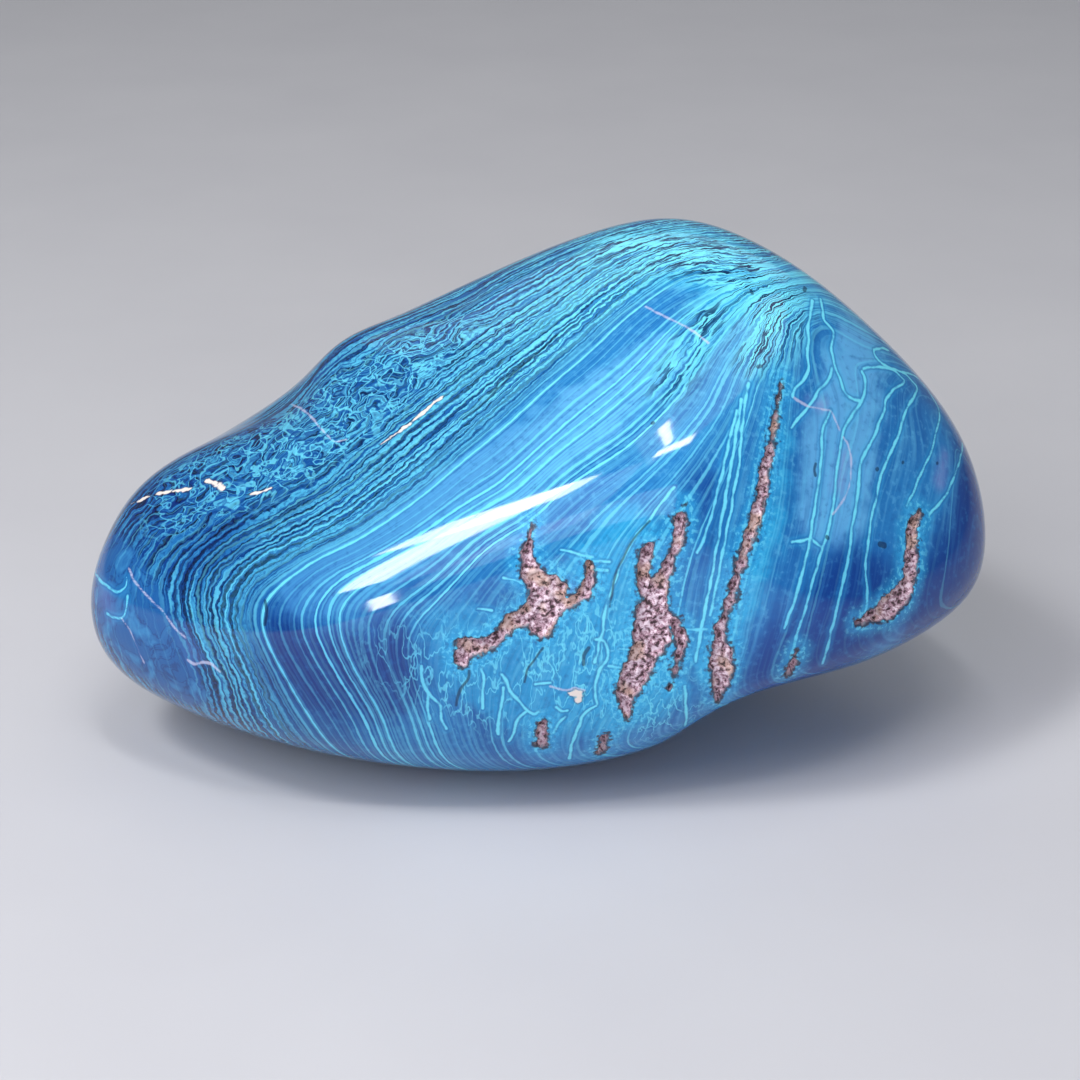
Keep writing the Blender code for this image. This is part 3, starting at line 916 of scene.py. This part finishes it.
    recess_edge: Ramp = Ramp(-0.02, -0.20)
    lumps: Cloud = Cloud(1.9, 4.0, roughness=0.6)
    # Pale grains on the raised lumps of the crust, partly painted highlights.
    crust_pale_and_highlight: Coat = Coat(Tone.CRUST_PALE_AND_HIGHLIGHT, 0.48, 0.60)
    patches: Cloud = Cloud(0.28, 1.0)
    crust_cream: Coat = Coat(Tone.CRUST_CREAM, 0.54, 0.66, 0.5)
    crust_dark: Coat = Coat(Tone.CRUST_DARK_AND_WALL_SHADE, 0.47, 0.40, 0.90)
    # Painted shade on the recess walls, just inside the edge, broken up by the lumps.
    wall_wear: float = 1.6
    wall_painted_shade: Coat = Coat(Tone.CRUST_DARK_AND_WALL_SHADE, 0.62, 0.92, 0.85)
    relief_strength: float = 0.7
    relief_height: float = 0.4
    polish_roughness: float = 0.07
    crust_roughness: float = 0.75
    ior: float = 1.54


class AmberFinish:
    """Blue amber, tumbled and buffed: a hard gloss over banded resin, with dull crust in the pits."""

    def __init__(self, recipe: AmberRecipe = AmberRecipe()) -> None:
        """Start the material and the fields that its patterns follow.

        Args:
            recipe: Make-up of the amber.
        """
        self.recipe = recipe
        self.graph = Graph(bpy.data.materials.new("Buffed blue amber"))
        self.mark = {
            mark: self.graph.add("Attribute", {}, out="Fac", attribute_name=mark.value) for mark in Mark
        }
        place = self.graph.add("TexCoord", {}, out="Object")
        self.place = self.graph.add("VectorMath", {0: place, "Scale": 1 / MM}, operation="SCALE")
        self.worn = self.graph.add("TexNoise", {"Vector": self.place, **recipe.worn.inputs()})
        self.level = self.bend_beds()
        self.colour: object = linear(Tone.DEEP.value)

    def build(self) -> bpy.types.Material:
        """Make the material."""
        self.lay_beds()
        self.lay_banding()
        self.lay_marble()
        # Painted shade at the nose and on the low parts, under the seams.
        self.lay_painted_shade(self.recipe.painted_shade_under_seams)
        self.lay_seams()
        self.lay_contortions()
        self.lay_veins()
        # Painted shade again, over the seams.
        self.lay_painted_shade(self.recipe.painted_shade_over_seams)
        self.lay_recess_edges()
        self.lay_marks()
        self.close_with_crust()
        return self.graph.owner

    def lay(self, coat: Coat, field: object, share: object = None) -> None:
        """Lay a coat on the colour so far, led by a field, with a share of its own where it varies."""
        self.colour = self.graph.coat(self.colour, coat, field, share)

    def wear(self, field: bpy.types.NodeSocket, reach: float) -> bpy.types.NodeSocket:
        """Make a gap to a feature uneven by up to a reach, in millimetres."""
        return self.graph.add("Math", {0: self.worn, 1: reach, 2: field}, operation="MULTIPLY_ADD")

    def draw_out(self, grain: Grain, shift: object = 0.0) -> bpy.types.NodeSocket:
        """Draw a grain along the beds.

        Args:
            grain: Grain to draw.
            shift: How many beds it is moved.

        Returns:
            Grain from 0 to 1.
        """
        add = self.graph.add
        level = add("Math", {0: self.level, 1: shift})
        level = add("Math", {0: level, 1: grain.across}, operation="MULTIPLY")
        run = add("Math", {0: self.mark[Mark.RUN], 1: grain.along}, operation="MULTIPLY")
        spot = add("CombineXYZ", {0: level, 1: run})
        return add("TexNoise", {"Vector": spot, "Scale": 1.0, "Detail": grain.detail})

    def bend_beds(self) -> bpy.types.NodeSocket:
        """Bed number at each point, folded where the beds are contorted and ragged at a hair's scale."""
        add, mark, recipe = self.graph.add, self.mark, self.recipe
        level = mark[Mark.BEDS]
        for cloud, beds in ((recipe.swirl, recipe.swirl_beds), (recipe.curl, recipe.curl_beds)):
            fold = add("TexNoise", {"Vector": self.place, **cloud.inputs()})
            fold = add("MapRange", {0: fold, **Ramp(0.0, 1.0, -beds, beds).inputs()})
            level = add("Math", {0: mark[Mark.TURMOIL], 1: fold, 2: level}, operation="MULTIPLY_ADD")
        rag = add("TexNoise", {"Vector": self.place, **recipe.rag.inputs()})
        rag = add("MapRange", {0: rag, **Ramp(0.0, 1.0, -recipe.rag_reach, recipe.rag_reach).inputs()})
        rag = add("Math", {0: rag, 1: mark[Mark.RAGGED]}, operation="MULTIPLY")
        return add("Math", {0: rag, 1: mark[Mark.CROWDING], 2: level}, operation="MULTIPLY_ADD")

    def lay_beds(self) -> None:
        """Lay the tones of the beds and zones, with the deep zone's painted shade, mottled and brushed
        along the bedding.
        """
        add, mark, recipe = self.graph.add, self.mark, self.recipe
        tone = self.draw_out(recipe.tone_grain)
        inputs = {0: tone, 6: self.colour, 7: linear(Tone.MIDDLE.value)}
        self.colour = add("Mix", inputs, out=2, data_type="RGBA")
        self.lay(recipe.tone, tone)
        cloud = add("TexNoise", {"Vector": self.place, **recipe.zone_edge.inputs()})
        for zone, coat in recipe.zones:
            edge = add("Math", {0: cloud, 1: recipe.zone_wave, 2: mark[zone]}, operation="MULTIPLY_ADD")
            self.lay(coat, edge)
        mottle = add("TexNoise", {"Vector": self.place, **recipe.mottle.inputs()})
        self.lay(recipe.mottle_light, mottle)
        self.lay(recipe.mottle_dark, mottle)
        self.lay(recipe.dense_shade, mark[Mark.DENSE])
        self.lay(recipe.turmoil_shade, mark[Mark.TURMOIL])
        brushed = self.draw_out(recipe.brushed)
        self.lay(recipe.brushed_light, brushed)
        self.lay(recipe.brushed_dark, brushed)

    def lay_banding(self) -> None:
        """Lay fine light and dark bands, broken here and there, where the beds lie dense."""
        add, mark, recipe = self.graph.add, self.mark, self.recipe
        ahead = add("Math", {0: mark[Mark.CROWDING], 1: recipe.banding_shift}, operation="MULTIPLY")
        here = self.draw_out(recipe.banding)
        beyond = self.draw_out(recipe.banding, ahead)
        slope = add("Math", {0: here, 1: beyond}, operation="SUBTRACT")
        breaks = add("TexNoise", {"Vector": self.place, **recipe.banding_breaks.inputs()})
        cover = add("MapRange", {0: breaks, **recipe.banding_cover.inputs()})
        cover = add("Math", {0: cover, 1: mark[Mark.DENSE]}, operation="MULTIPLY")
        self.lay(recipe.banding_dark, slope, cover)
        self.lay(recipe.banding_light, slope, cover)

    def lay_marble(self) -> None:
        """Lay the smooth marbled patch at the nose, and the violet stains."""
        add, mark, recipe = self.graph.add, self.mark, self.recipe
        cloud = add("TexNoise", {"Vector": self.place, **recipe.marbling.inputs()})
        inputs = {0: cloud, 1: recipe.marble_wave, 2: mark[Mark.MARBLE]}
        edge = add("Math", inputs, operation="MULTIPLY_ADD")
        inside = add("MapRange", {0: edge, **Ramp(recipe.marble.clear, recipe.marble.full).inputs()})
        self.lay(recipe.marble, edge)
        self.lay(recipe.marble_light, cloud, inside)
        share = add("Math", {0: inside, 1: recipe.marble_vein_share}, operation="MULTIPLY")
        self.lay_winding(cloud, recipe.marble_veins, share)
        self.lay(recipe.stain, mark[Mark.STAIN])

    def lay_painted_shade(self, strength: float) -> None:
        """Painted shade: darken the blue towards the nose, where less light falls, and on the low parts
        marked deep, which lie in shade.

        Args:
            strength: Share of the painted shade that is laid.
        """
        add, recipe = self.graph.add, self.recipe
        along = add("SeparateXYZ", {0: self.place}, out="X")
        fade = Ramp(recipe.nose_shade_start, recipe.nose_shade_end, 0.0, strength)
        nose = add("MapRange", {0: along, **fade.inputs()})
        foot = add("Math", {0: self.mark[Mark.DEEP], 1: strength}, operation="MULTIPLY")
        # Multiply the painted shade tints over the colour.
        for cover, tint in ((nose, Tone.NOSE_PAINTED_SHADE), (foot, Tone.LOW_PAINTED_SHADE)):
            inputs = {0: cover, 6: self.colour, 7: linear(tint.value)}
            self.colour = add("Mix", inputs, out=2, data_type="RGBA", blend_type="MULTIPLY")

    def lay_seams(self) -> None:
        """Lay the bright seams between beds, a few sets that drift across the bedding."""
        drift = self.draw_out(self.recipe.drift)
        inputs = {0: drift, 1: self.recipe.drift_beds, 2: self.level}
        level = self.graph.add("Math", inputs, operation="MULTIPLY_ADD")
        for often, share in self.recipe.seam_sets:
            self.lay_seam_set(level, often, share)

    def lay_seam_set(self, level: bpy.types.NodeSocket, often: float, share: float) -> None:
        """Lay seams at whole numbers of a level, each with a strength of its own and a dark lower lip.

        Args:
            level: Bed number at each point.
            often: Seams a bed.
            share: Strength of the set.
        """
        add, mark, recipe = self.graph.add, self.mark, self.recipe
        level = add("Math", {0: level, 1: often}, operation="MULTIPLY")
        number = add("Math", {0: level}, operation="ROUND")
        own = add("TexWhiteNoise", {"W": number}, noise_dimensions="1D")
        spread = Ramp(recipe.weak_seams, recipe.strong_seams, recipe.least_seam, share)
        strength = add("MapRange", {0: own, **spread.inputs()})
        strength = add("Math", {0: strength, 1: mark[Mark.SEAMS]}, operation="MULTIPLY")
        lip_strength = add("Math", {0: strength, 1: recipe.seam_lip_share}, operation="MULTIPLY")
        close = add("Math", {0: mark[Mark.CROWDING], 1: often}, operation="MULTIPLY")
        away = add("Math", {0: level, 1: number}, operation="SUBTRACT")
        away = add("Math", {0: away, 1: close}, operation="DIVIDE")
        lip = add("Math", {0: away, 1: recipe.seam_lip_gap}, operation="SUBTRACT")
        self.lay(recipe.seam_lip, add("Math", {0: lip}, operation="ABSOLUTE"), lip_strength)
        gap = add("Math", {0: away}, operation="ABSOLUTE")
        self.lay(recipe.seam_line, self.wear(gap, recipe.seam_wear), strength)

    def lay_winding(self, field: bpy.types.NodeSocket, winding: Winding, cover: object) -> None:
        """Lay lines where a cloudy field crosses its middle.

        Args:
            field: Field from 0 to 1.
            winding: Coats of the lines and of their lips.
            cover: How much the lines cover.
        """
        add = self.graph.add
        away = add("Math", {0: field, 1: FIELD_MIDDLE}, operation="SUBTRACT")
        if winding.lip:
            lip = add("Math", {0: away, 1: winding.lip_shift}, operation="ADD")
            self.lay(winding.lip, add("Math", {0: lip}, operation="ABSOLUTE"), cover)
        self.lay(winding.line, add("Math", {0: away}, operation="ABSOLUTE"), cover)

    def lay_contortions(self) -> None:
        """Lay bright lines through the contorted beds, over the calm foot and in a net at the summit."""
        add, mark, recipe = self.graph.add, self.mark, self.recipe
        cover = add("MapRange", {0: mark[Mark.TURMOIL], **recipe.contorted_cover.inputs()})
        for pattern in recipe.contorted:
            cloud = add("TexNoise", {"Vector": self.place, **pattern.inputs()})
            self.lay_winding(cloud, recipe.contorted_lines, cover)
        drawn = add("VectorMath", {0: self.place, 1: recipe.wandering_per_mm}, operation="MULTIPLY")
        cover = add("Math", {0: mark[Mark.CALM], 1: recipe.wandering_cover}, operation="MULTIPLY")
        for start in recipe.wandering_starts:
            spot = add("VectorMath", {0: drawn, 1: start}, operation="ADD")
            cloud = add("TexNoise", {"Vector": spot, **recipe.wandering.inputs()})
            self.lay_winding(cloud, recipe.wandering_lines, cover)
        self.lay_winding(self.draw_out(recipe.netted), recipe.netted_lines, mark[Mark.NET])

    def lay_veins(self) -> None:
        """Lay the bright seams that leave the bedding, with a glow and a dark lip."""
        gap = self.wear(self.mark[Mark.VEIN], self.recipe.vein_wear)
        for coat in (self.recipe.vein_halo, self.recipe.vein_lip, self.recipe.vein_line):
            self.lay(coat, gap)

    def lay_recess_edges(self) -> None:
        """Lay a glow, a speckle and a ragged brown rim round the recesses."""
        add, recipe = self.graph.add, self.recipe
        gap = self.mark[Mark.RECESS]
        self.lay(recipe.recess_halo, gap)
        speckle = add("TexNoise", {"Vector": self.place, **recipe.speckle.inputs()})
        cover = add("MapRange", {0: gap, **recipe.speckle_cover.inputs()})
        self.lay(recipe.speckle_light, speckle, cover)
        self.lay(recipe.speckle_dark, speckle, cover)
        ragged = add("Math", {0: speckle, 1: recipe.rim_wear, 2: gap}, operation="MULTIPLY_ADD")
        self.lay(recipe.rim, ragged)

    def lay_marks(self) -> None:
        """Lay healed cracks, slits and flecks."""
        recipe = self.recipe
        self.lay(recipe.crack, self.wear(self.mark[Mark.CRACK], recipe.vein_wear))
        self.lay(recipe.slit, self.mark[Mark.SLIT])
        fleck = self.wear(self.mark[Mark.FLECK], recipe.fleck_wear)
        self.lay(recipe.fleck_rim, fleck)
        self.lay(recipe.fleck, fleck)

    def close_with_crust(self) -> None:
        """Fill the recesses with granular crust, with painted highlights on its raised lumps and painted
        shade on its walls, and join colour, gloss and relief in one shader.
        """
        add, recipe = self.graph.add, self.recipe
        gap = self.mark[Mark.RECESS]
        inside = add("MapRange", {0: gap, **recipe.recess_edge.inputs()})
        lumps = add("TexNoise", {"Vector": self.place, **recipe.lumps.inputs()})
        polished, self.colour = self.colour, linear(Tone.CRUST.value)
        # Pale grains and painted highlights, on the same lumps that raise the bump.
        self.lay(recipe.crust_pale_and_highlight, lumps)
        self.lay(recipe.crust_cream, add("TexNoise", {"Vector": self.place, **recipe.patches.inputs()}))
        self.lay(recipe.crust_dark, lumps)
        # Painted shade on the recess walls.
        wall = add("Math", {0: lumps, 1: recipe.wall_wear, 2: gap}, operation="MULTIPLY_ADD")
        self.lay(recipe.wall_painted_shade, wall)
        colour = add("Mix", {0: inside, 6: polished, 7: self.colour}, out=2, data_type="RGBA")
        dullness = Ramp(0.0, 1.0, recipe.polish_roughness, recipe.crust_roughness)
        roughness = add("MapRange", {0: inside, **dullness.inputs()})
        relief = add("Math", {0: inside, 1: lumps}, operation="MULTIPLY")
        bump = {"Strength": recipe.relief_strength, "Distance": recipe.relief_height * MM, "Height": relief}
        normal = add("Bump", bump)
        inputs = {"Base Color": colour, "Roughness": roughness, "IOR": recipe.ior, "Normal": normal}
        add("OutputMaterial", {"Surface": add("BsdfPrincipled", inputs)})


@dataclass(frozen=True)
class FloorFinish:
    """Matt painted board: pale, without gloss, and faintly mottled by the roller."""

    light: str = "cdcdd0"
    dark: str = "c5c5c9"
    mottle_lumps: float = 30.0
    mottle_detail: float = 3.0
    roughness: float = 0.8

    def build(self) -> bpy.types.Material:
        """Make the material."""
        graph = Graph(bpy.data.materials.new("Matt painted board"))
        place = graph.add("TexCoord", {}, out="Object")
        pattern = {"Vector": place, "Scale": self.mottle_lumps, "Detail": self.mottle_detail}
        mottle = graph.add("TexNoise", pattern)
        inputs = {0: mottle, 6: linear(self.light), 7: linear(self.dark)}
        colour = graph.add("Mix", inputs, out=2, data_type="RGBA")
        shader = graph.add("BsdfPrincipled", {"Base Color": colour, "Roughness": self.roughness})
        graph.add("OutputMaterial", {"Surface": shader})
        return graph.owner


@dataclass
class Nugget:
    """The stone: a fine skin on the shape, with recesses sunk into it and its make-up marked on it."""

    shape: StoneShape
    ball_subdivisions: int = 7
    recess_margins: tuple[float, ...] = (0.0007, 0.0004)
    line_margins: tuple[float, ...] = (0.0004, 0.0001)
    recess_depth: float = 0.0008
    rim_width: float = 0.0004
    rim_polish: float = 0.00025
    grain_size: float = 0.0008
    grain_height: float = 0.0005
    ragged_size: float = 0.0013
    ragged_reach: float = 0.00045
    ragged_margin: float = 0.0030
    wobble_size: float = 0.0016
    wobble_reach: float = 0.00014
    wobble_seed: int = 7
    wobble_margin: float = 0.0015
    recess_surround: float = 0.0040
    line_surround: float = 0.0010
    zone_fade: float = 0.0030
    back_fade: tuple[float, float] = (-0.010, 0.006)
    plain_beds: tuple[float, float] = (19.0, 25.0)
    seam_beds: tuple[float, ...] = (0, 16, 22, 38, 42, 46, 52, 56)
    seam_strengths: tuple[float, ...] = (0.30, 0.45, 1.00, 0.85, 0.50, 0.65, 0.65, 0.25)
    back_seams: float = 0.6
    calm_loss: float = 0.8
    net_loss: float = 0.6
    marble_loss: float = 0.8
    net_density: float = 0.5
    marble_thinning: float = 0.9
    least_ragged: float = 0.15

    def build(self) -> bpy.types.Object:
        """Model and dress the stone.

        Returns:
            The finished piece.
        """
        self.recesses = self.shape.lay(RECESSES)
        self.veins = self.shape.lay(VEINS)
        self.cracks = self.shape.lay(CRACKS)
        self.slits = self.shape.lay(SLITS)
        self.flecks = self.shape.lay(FLECKS)
        piece = self.make_ball()
        for recess_margin, line_margin in zip(self.recess_margins, self.line_margins):
            self.refine(piece, recess_margin, line_margin)
        skin = self.skin_points(piece)
        piece.data.vertices.foreach_set("co", skin.ravel())
        piece.data.update()
        normals = np.empty(skin.size)
        piece.data.vertex_normals.foreach_get("vector", normals)
        normals = normals.reshape(-1, 3)
        gap = self.recess_gap(skin)
        self.mark_make_up(piece, skin, normals, gap)
        self.sink_recesses(piece, skin, normals, gap)
        piece.data.materials.append(AmberFinish().build())
        return piece

    def make_ball(self) -> bpy.types.Object:
        """Ball whose points are then pushed out to the stone's surface."""
        bpy.ops.object.select_all(action="DESELECT")
        bpy.ops.mesh.primitive_ico_sphere_add(subdivisions=self.ball_subdivisions, radius=1.0)
        piece = bpy.context.active_object
        piece.name = "banded_amber_skin"
        return piece

    def skin_points(self, piece: bpy.types.Object) -> Array:
        """Surface point for each vertex of the ball, above the worn flat."""
        directions = np.empty(len(piece.data.vertices) * 3)
        piece.data.vertices.foreach_get("co", directions)
        directions = directions.reshape(-1, 3)
        directions = directions / np.linalg.norm(directions, axis=1)[:, None]
        points = HEART + directions * self.shape.reach(directions)[:, None]
        points[:, 2] = np.maximum(points[:, 2], 0.0)
        return points

    def refine(self, piece: bpy.types.Object, recess_margin: float, line_margin: float) -> None:
        """Subdivide the faces on and round the recesses, seams, cracks and flecks.

        Args:
            piece: Ball.
            recess_margin: How far round the recesses the finer faces reach.
            line_margin: How far round the lines they reach.
        """
        points = self.skin_points(piece)
        near = gap_to(points, self.recesses, 2 * recess_margin) < recess_margin
        lines = self.veins + self.cracks + self.slits + self.flecks
        near |= gap_to(points, lines, 2 * line_margin) < line_margin
        corners = np.empty(len(piece.data.loops), np.int32)
        piece.data.loops.foreach_get("vertex_index", corners)
        chosen = near[corners.reshape(-1, 3)].any(axis=1)
        bpy.ops.object.mode_set(mode="EDIT")
        bpy.ops.mesh.select_mode(type="FACE")
        bpy.ops.mesh.select_all(action="DESELECT")
        bpy.ops.object.mode_set(mode="OBJECT")
        piece.data.polygons.foreach_set("select", chosen)
        bpy.ops.object.mode_set(mode="EDIT")
        bpy.ops.mesh.subdivide(number_cuts=1)
        bpy.ops.mesh.select_all(action="SELECT")
        bpy.ops.mesh.quads_convert_to_tris()
        bpy.ops.object.mode_set(mode="OBJECT")

    def wobble(self, skin: Array) -> Array:
        """Skin points moved a little, so that lines drawn on them waver as real ones do."""
        noise.seed_set(self.wobble_seed)
        moved = skin.copy()
        lines = self.veins + self.cracks + self.slits
        near = np.flatnonzero(gap_to(skin, lines, 2 * self.wobble_margin) < self.wobble_margin)
        sways = [noise.noise_vector(Vector(point / self.wobble_size)) for point in skin[near]]
        moved[near] += self.wobble_reach * np.array(sways)
        return moved

    def recess_gap(self, skin: Array) -> Array:
        """Distance to the recesses' ragged edges, inside the polished rim."""
        gap = gap_to(skin, self.recesses, self.recess_surround) + self.rim_polish
        near = np.flatnonzero(gap < self.ragged_margin)
        waves = ((self.ragged_size, self.ragged_reach), (self.ragged_size / 3, self.ragged_reach / 2))
        for size, reach in waves:
            gap[near] += [reach * noise.noise(Vector(point / size)) for point in skin[near]]
        return gap

    def mark_make_up(self, piece: bpy.types.Object, skin: Array, normals: Array, recess_gap: Array) -> None:
        """Write the bed pattern, the zones and the gaps to each feature onto the vertices.

        Args:
            piece: The stone.
            skin: Surface point of each vertex.
            normals: Outward normal there.
            recess_gap: Distance to the recesses' edges there.
        """
        marks = self.mark_beds(skin, normals)
        marks[Mark.RECESS] = recess_gap / MM
        moved = self.wobble(skin)
        lines = {Mark.VEIN: self.veins, Mark.CRACK: self.cracks, Mark.SLIT: self.slits}
        for mark, strokes in lines.items():
            marks[mark] = gap_to(moved, strokes, self.line_surround) / MM
        marks[Mark.FLECK] = gap_to(skin, self.flecks, self.line_surround) / MM
        for zone, strokes in ZONES.items():
            gap = gap_to(skin, self.shape.lay(strokes), 2 * self.zone_fade)
            marks[zone] = 1.0 - smooth_step(-self.zone_fade, self.zone_fade, gap)
        self.mark_strengths(marks, skin)
        for mark, values in marks.items():
            attribute = piece.data.attributes.new(mark.value, "FLOAT", "POINT")
            attribute.data.foreach_set("value", values.astype(np.float32))

    def mark_beds(self, skin: Array, normals: Array) -> dict[Mark, Array]:
        """Number the beds over the skin.

        Args:
            skin: Surface point of each vertex.
            normals: Outward normal there.

        Returns:
            Bed number, run along the bed in millimetres, and beds a millimetre.
        """
        knots, numbers, runs = self.bed_knots()
        beds, slopes = BedField(knots, numbers).at(skin)
        run = BedField(knots, runs).at(skin)[0]
        slopes = slopes - (slopes * normals).sum(axis=1)[:, None] * normals
        return {Mark.BEDS: beds, Mark.RUN: run / MM, Mark.CROWDING: np.linalg.norm(slopes, axis=1) * MM}

    def mark_strengths(self, marks: dict[Mark, Array], skin: Array) -> None:
        """Work out how dense, ragged and bright the banding is, and add that to the marks.

        Args:
            marks: Marks so far, with the beds and zones.
            skin: Surface point of each vertex.
        """
        picture_side = smooth_step(*self.back_fade, (skin - HEART) @ view_axes()[2])
        crest = 1.0 - smooth_step(*self.plain_beds, marks[Mark.BEDS])
        net, calm, marble = marks[Mark.NET], marks[Mark.CALM], marks[Mark.MARBLE]
        dense = np.maximum(crest, self.net_density * net)
        marks[Mark.DENSE] = dense * (1.0 - self.marble_thinning * marble)
        marks[Mark.RAGGED] = np.maximum(self.least_ragged, np.maximum(crest, net))
        strength = np.interp(marks[Mark.BEDS], self.seam_beds, self.seam_strengths)
        strength = strength * (1.0 - self.calm_loss * calm) * (1.0 - self.net_loss * net)
        strength = strength * picture_side + self.back_seams * (1.0 - picture_side)
        marks[Mark.SEAMS] = strength * (1.0 - self.marble_loss * marble)

    def bed_knots(self) -> tuple[Array, Array, Array]:
        """Points along every bed line.

        Returns:
            The points, the bed number at each, and how far each lies from its line's upper end.
        """
        knots, numbers, runs = [], [], []
        for bed in BEDS:
            across, up = (np.array(bed.line) * MM).T
            points = self.shape.on_surface(PICTURE_SIDE, across, up)
            steps = np.linalg.norm(np.diff(points, axis=0), axis=1)
            travelled = np.concatenate([[0.0], np.cumsum(steps)])
            knots.append(points)
            numbers.append(np.full(len(points), bed.number))
            runs.append(travelled[-1] - travelled)
        return np.concatenate(knots), np.concatenate(numbers), np.concatenate(runs)

    def sink_recesses(self, piece: bpy.types.Object, skin: Array, normals: Array, gap: Array) -> None:
        """Sink the recesses to a granular crust below the skin.

        Args:
            piece: The stone.
            skin: Surface point of each vertex.
            normals: Outward normal there.
            gap: Distance to the recesses' edges there.
        """
        inside = np.flatnonzero(gap < 0)
        wall = smooth_step(0.0, self.rim_width, -gap[inside])
        grains = np.array([noise.noise(Vector(point / self.grain_size)) for point in skin[inside]])
        depth = np.maximum((self.recess_depth + self.grain_height * grains) * wall, 0.0)
        points = skin.copy()
        points[inside] -= normals[inside] * depth[:, None]
        piece.data.vertices.foreach_set("co", points.ravel())
        piece.data.update()
        bpy.ops.object.shade_smooth()


@dataclass(frozen=True)
class Lamp:
    """Soft lamp: a bar between two places in the sky, as seen from the stone."""

    name: str
    start: tuple[float, float]
    end: tuple[float, float]
    distance: float
    width: float
    power: float
    colour: str = "ffffff"


@dataclass
class Studio:
    """Pale floor, soft lamps and the camera."""

    lens: float = 86.0
    camera_distance: float = 0.300
    aim: tuple[float, float, float] = (0.0002, -0.0033, 0.0230)
    clip_start: float = 0.01
    floor_side: float = 3.0
    floor_parts: int = 4
    horizon: str = "babbc0"
    zenith: str = "8a8f99"
    sky_strength: float = 0.38
    lamps: tuple[Lamp, ...] = (
        Lamp("bar_lamp", (-127, 25), (-148, 60), 0.60, 0.08, 1.5),
        Lamp("bar_head", (-142, 52), (-148, 61), 0.60, 0.18, 0.8),
        Lamp("haze_card", (-108, 20), (-118, 62), 0.62, 0.20, 0.42, "ece6ff"),
        Lamp("round_lamp", (-110.5, 1), (-115.5, 11), 0.60, 0.036, 0.26),
        Lamp("glint_lamp", (-90, 64), (-56, 58), 0.60, 0.04, 0.45),
        Lamp("glint_wing", (-80, 67), (-125, 80), 0.60, 0.03, 0.33),
        Lamp("card", (-112, 20), (-66, 20), 0.70, 0.26, 0.6, "f6f4ff"),
        Lamp("top_softbox", (-115, 70), (10, 55), 1.20, 0.70, 2.2),
        Lamp("back_fill", (55, 38), (125, 38), 1.00, 0.40, 0.5),
    )

    def build(self) -> None:
        """Set up the whole studio."""
        self.add_floor()
        for lamp in self.lamps:
            self.add_lamp(lamp)
        self.add_sky()
        self.add_camera()

    def add_floor(self) -> None:
        """Lay the floor under the stone."""
        bpy.ops.object.select_all(action="DESELECT")
        parts = {"x_subdivisions": self.floor_parts, "y_subdivisions": self.floor_parts}
        bpy.ops.mesh.primitive_grid_add(size=self.floor_side, **parts)
        floor = bpy.context.active_object
        floor.name = "floor"
        floor.data.materials.append(FloorFinish().build())

    def add_lamp(self, lamp: Lamp) -> None:
        """Hang one lamp, facing the stone.

        Args:
            lamp: The lamp's place, size and power.
        """
        start = sky_direction(*lamp.start) * lamp.distance
        end = sky_direction(*lamp.end) * lamp.distance
        light = bpy.data.lights.new(lamp.name, "AREA")
        light.shape = "RECTANGLE"
        light.size = float(np.linalg.norm(end - start))
        light.size_y = lamp.width
        light.energy = lamp.power
        light.color = linear(lamp.colour)[:3]
        back = Vector((start + end) / 2).normalized()
        side = Vector(end - start).normalized()
        side = (side - side.dot(back) * back).normalized()
        turn = np.identity(4)
        turn[:3, 0] = side
        turn[:3, 1] = back.cross(side)
        turn[:3, 2] = back
        turn[:3, 3] = (start + end) / 2 + HEART
        holder = bpy.data.objects.new(lamp.name, light)
        holder.matrix_world = Matrix(turn.tolist())
        bpy.context.scene.collection.objects.link(holder)

    def add_sky(self) -> None:
        """Pale surroundings, brightest at the horizon."""
        graph = Graph(bpy.data.worlds.new("pale_room"))
        direction = graph.add("TexCoord", {}, out="Generated")
        height = graph.add("SeparateXYZ", {0: direction}, out="Z")
        inputs = {0: height, 6: linear(self.horizon), 7: linear(self.zenith)}
        fade = graph.add("Mix", inputs, out=2, data_type="RGBA")
        glow = graph.add("Background", {"Color": fade, "Strength": self.sky_strength})
        graph.add("OutputWorld", {"Surface": glow})
        bpy.context.scene.world = graph.owner
        bpy.context.scene.view_settings.view_transform = "Standard"

    def add_camera(self) -> None:
        """Aim the camera from the picture's side, tilted down."""
        camera = bpy.data.cameras.new("camera")
        camera.lens = self.lens
        camera.clip_start = self.clip_start
        holder = bpy.data.objects.new("camera", camera)
        toward = Vector(view_axes()[2])
        holder.location = Vector(self.aim) + toward * self.camera_distance
        holder.rotation_euler = toward.to_track_quat("Z", "Y").to_euler()
        bpy.context.scene.collection.objects.link(holder)
        bpy.context.scene.camera = holder


def main() -> None:
    """Build the stone and its studio, and log the stone's faces."""
    logging.basicConfig(level=logging.INFO, format="%(name)s: %(message)s")
    stone = Nugget(StoneShape()).build()
    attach(stone, STONE_BODY)
    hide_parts(STONE_NODE)
    LOG.info("stone with %d faces", len(stone.data.polygons))
    Studio().build()
    LOG.info("studio ready")


if __name__ == "__main__":
    main()
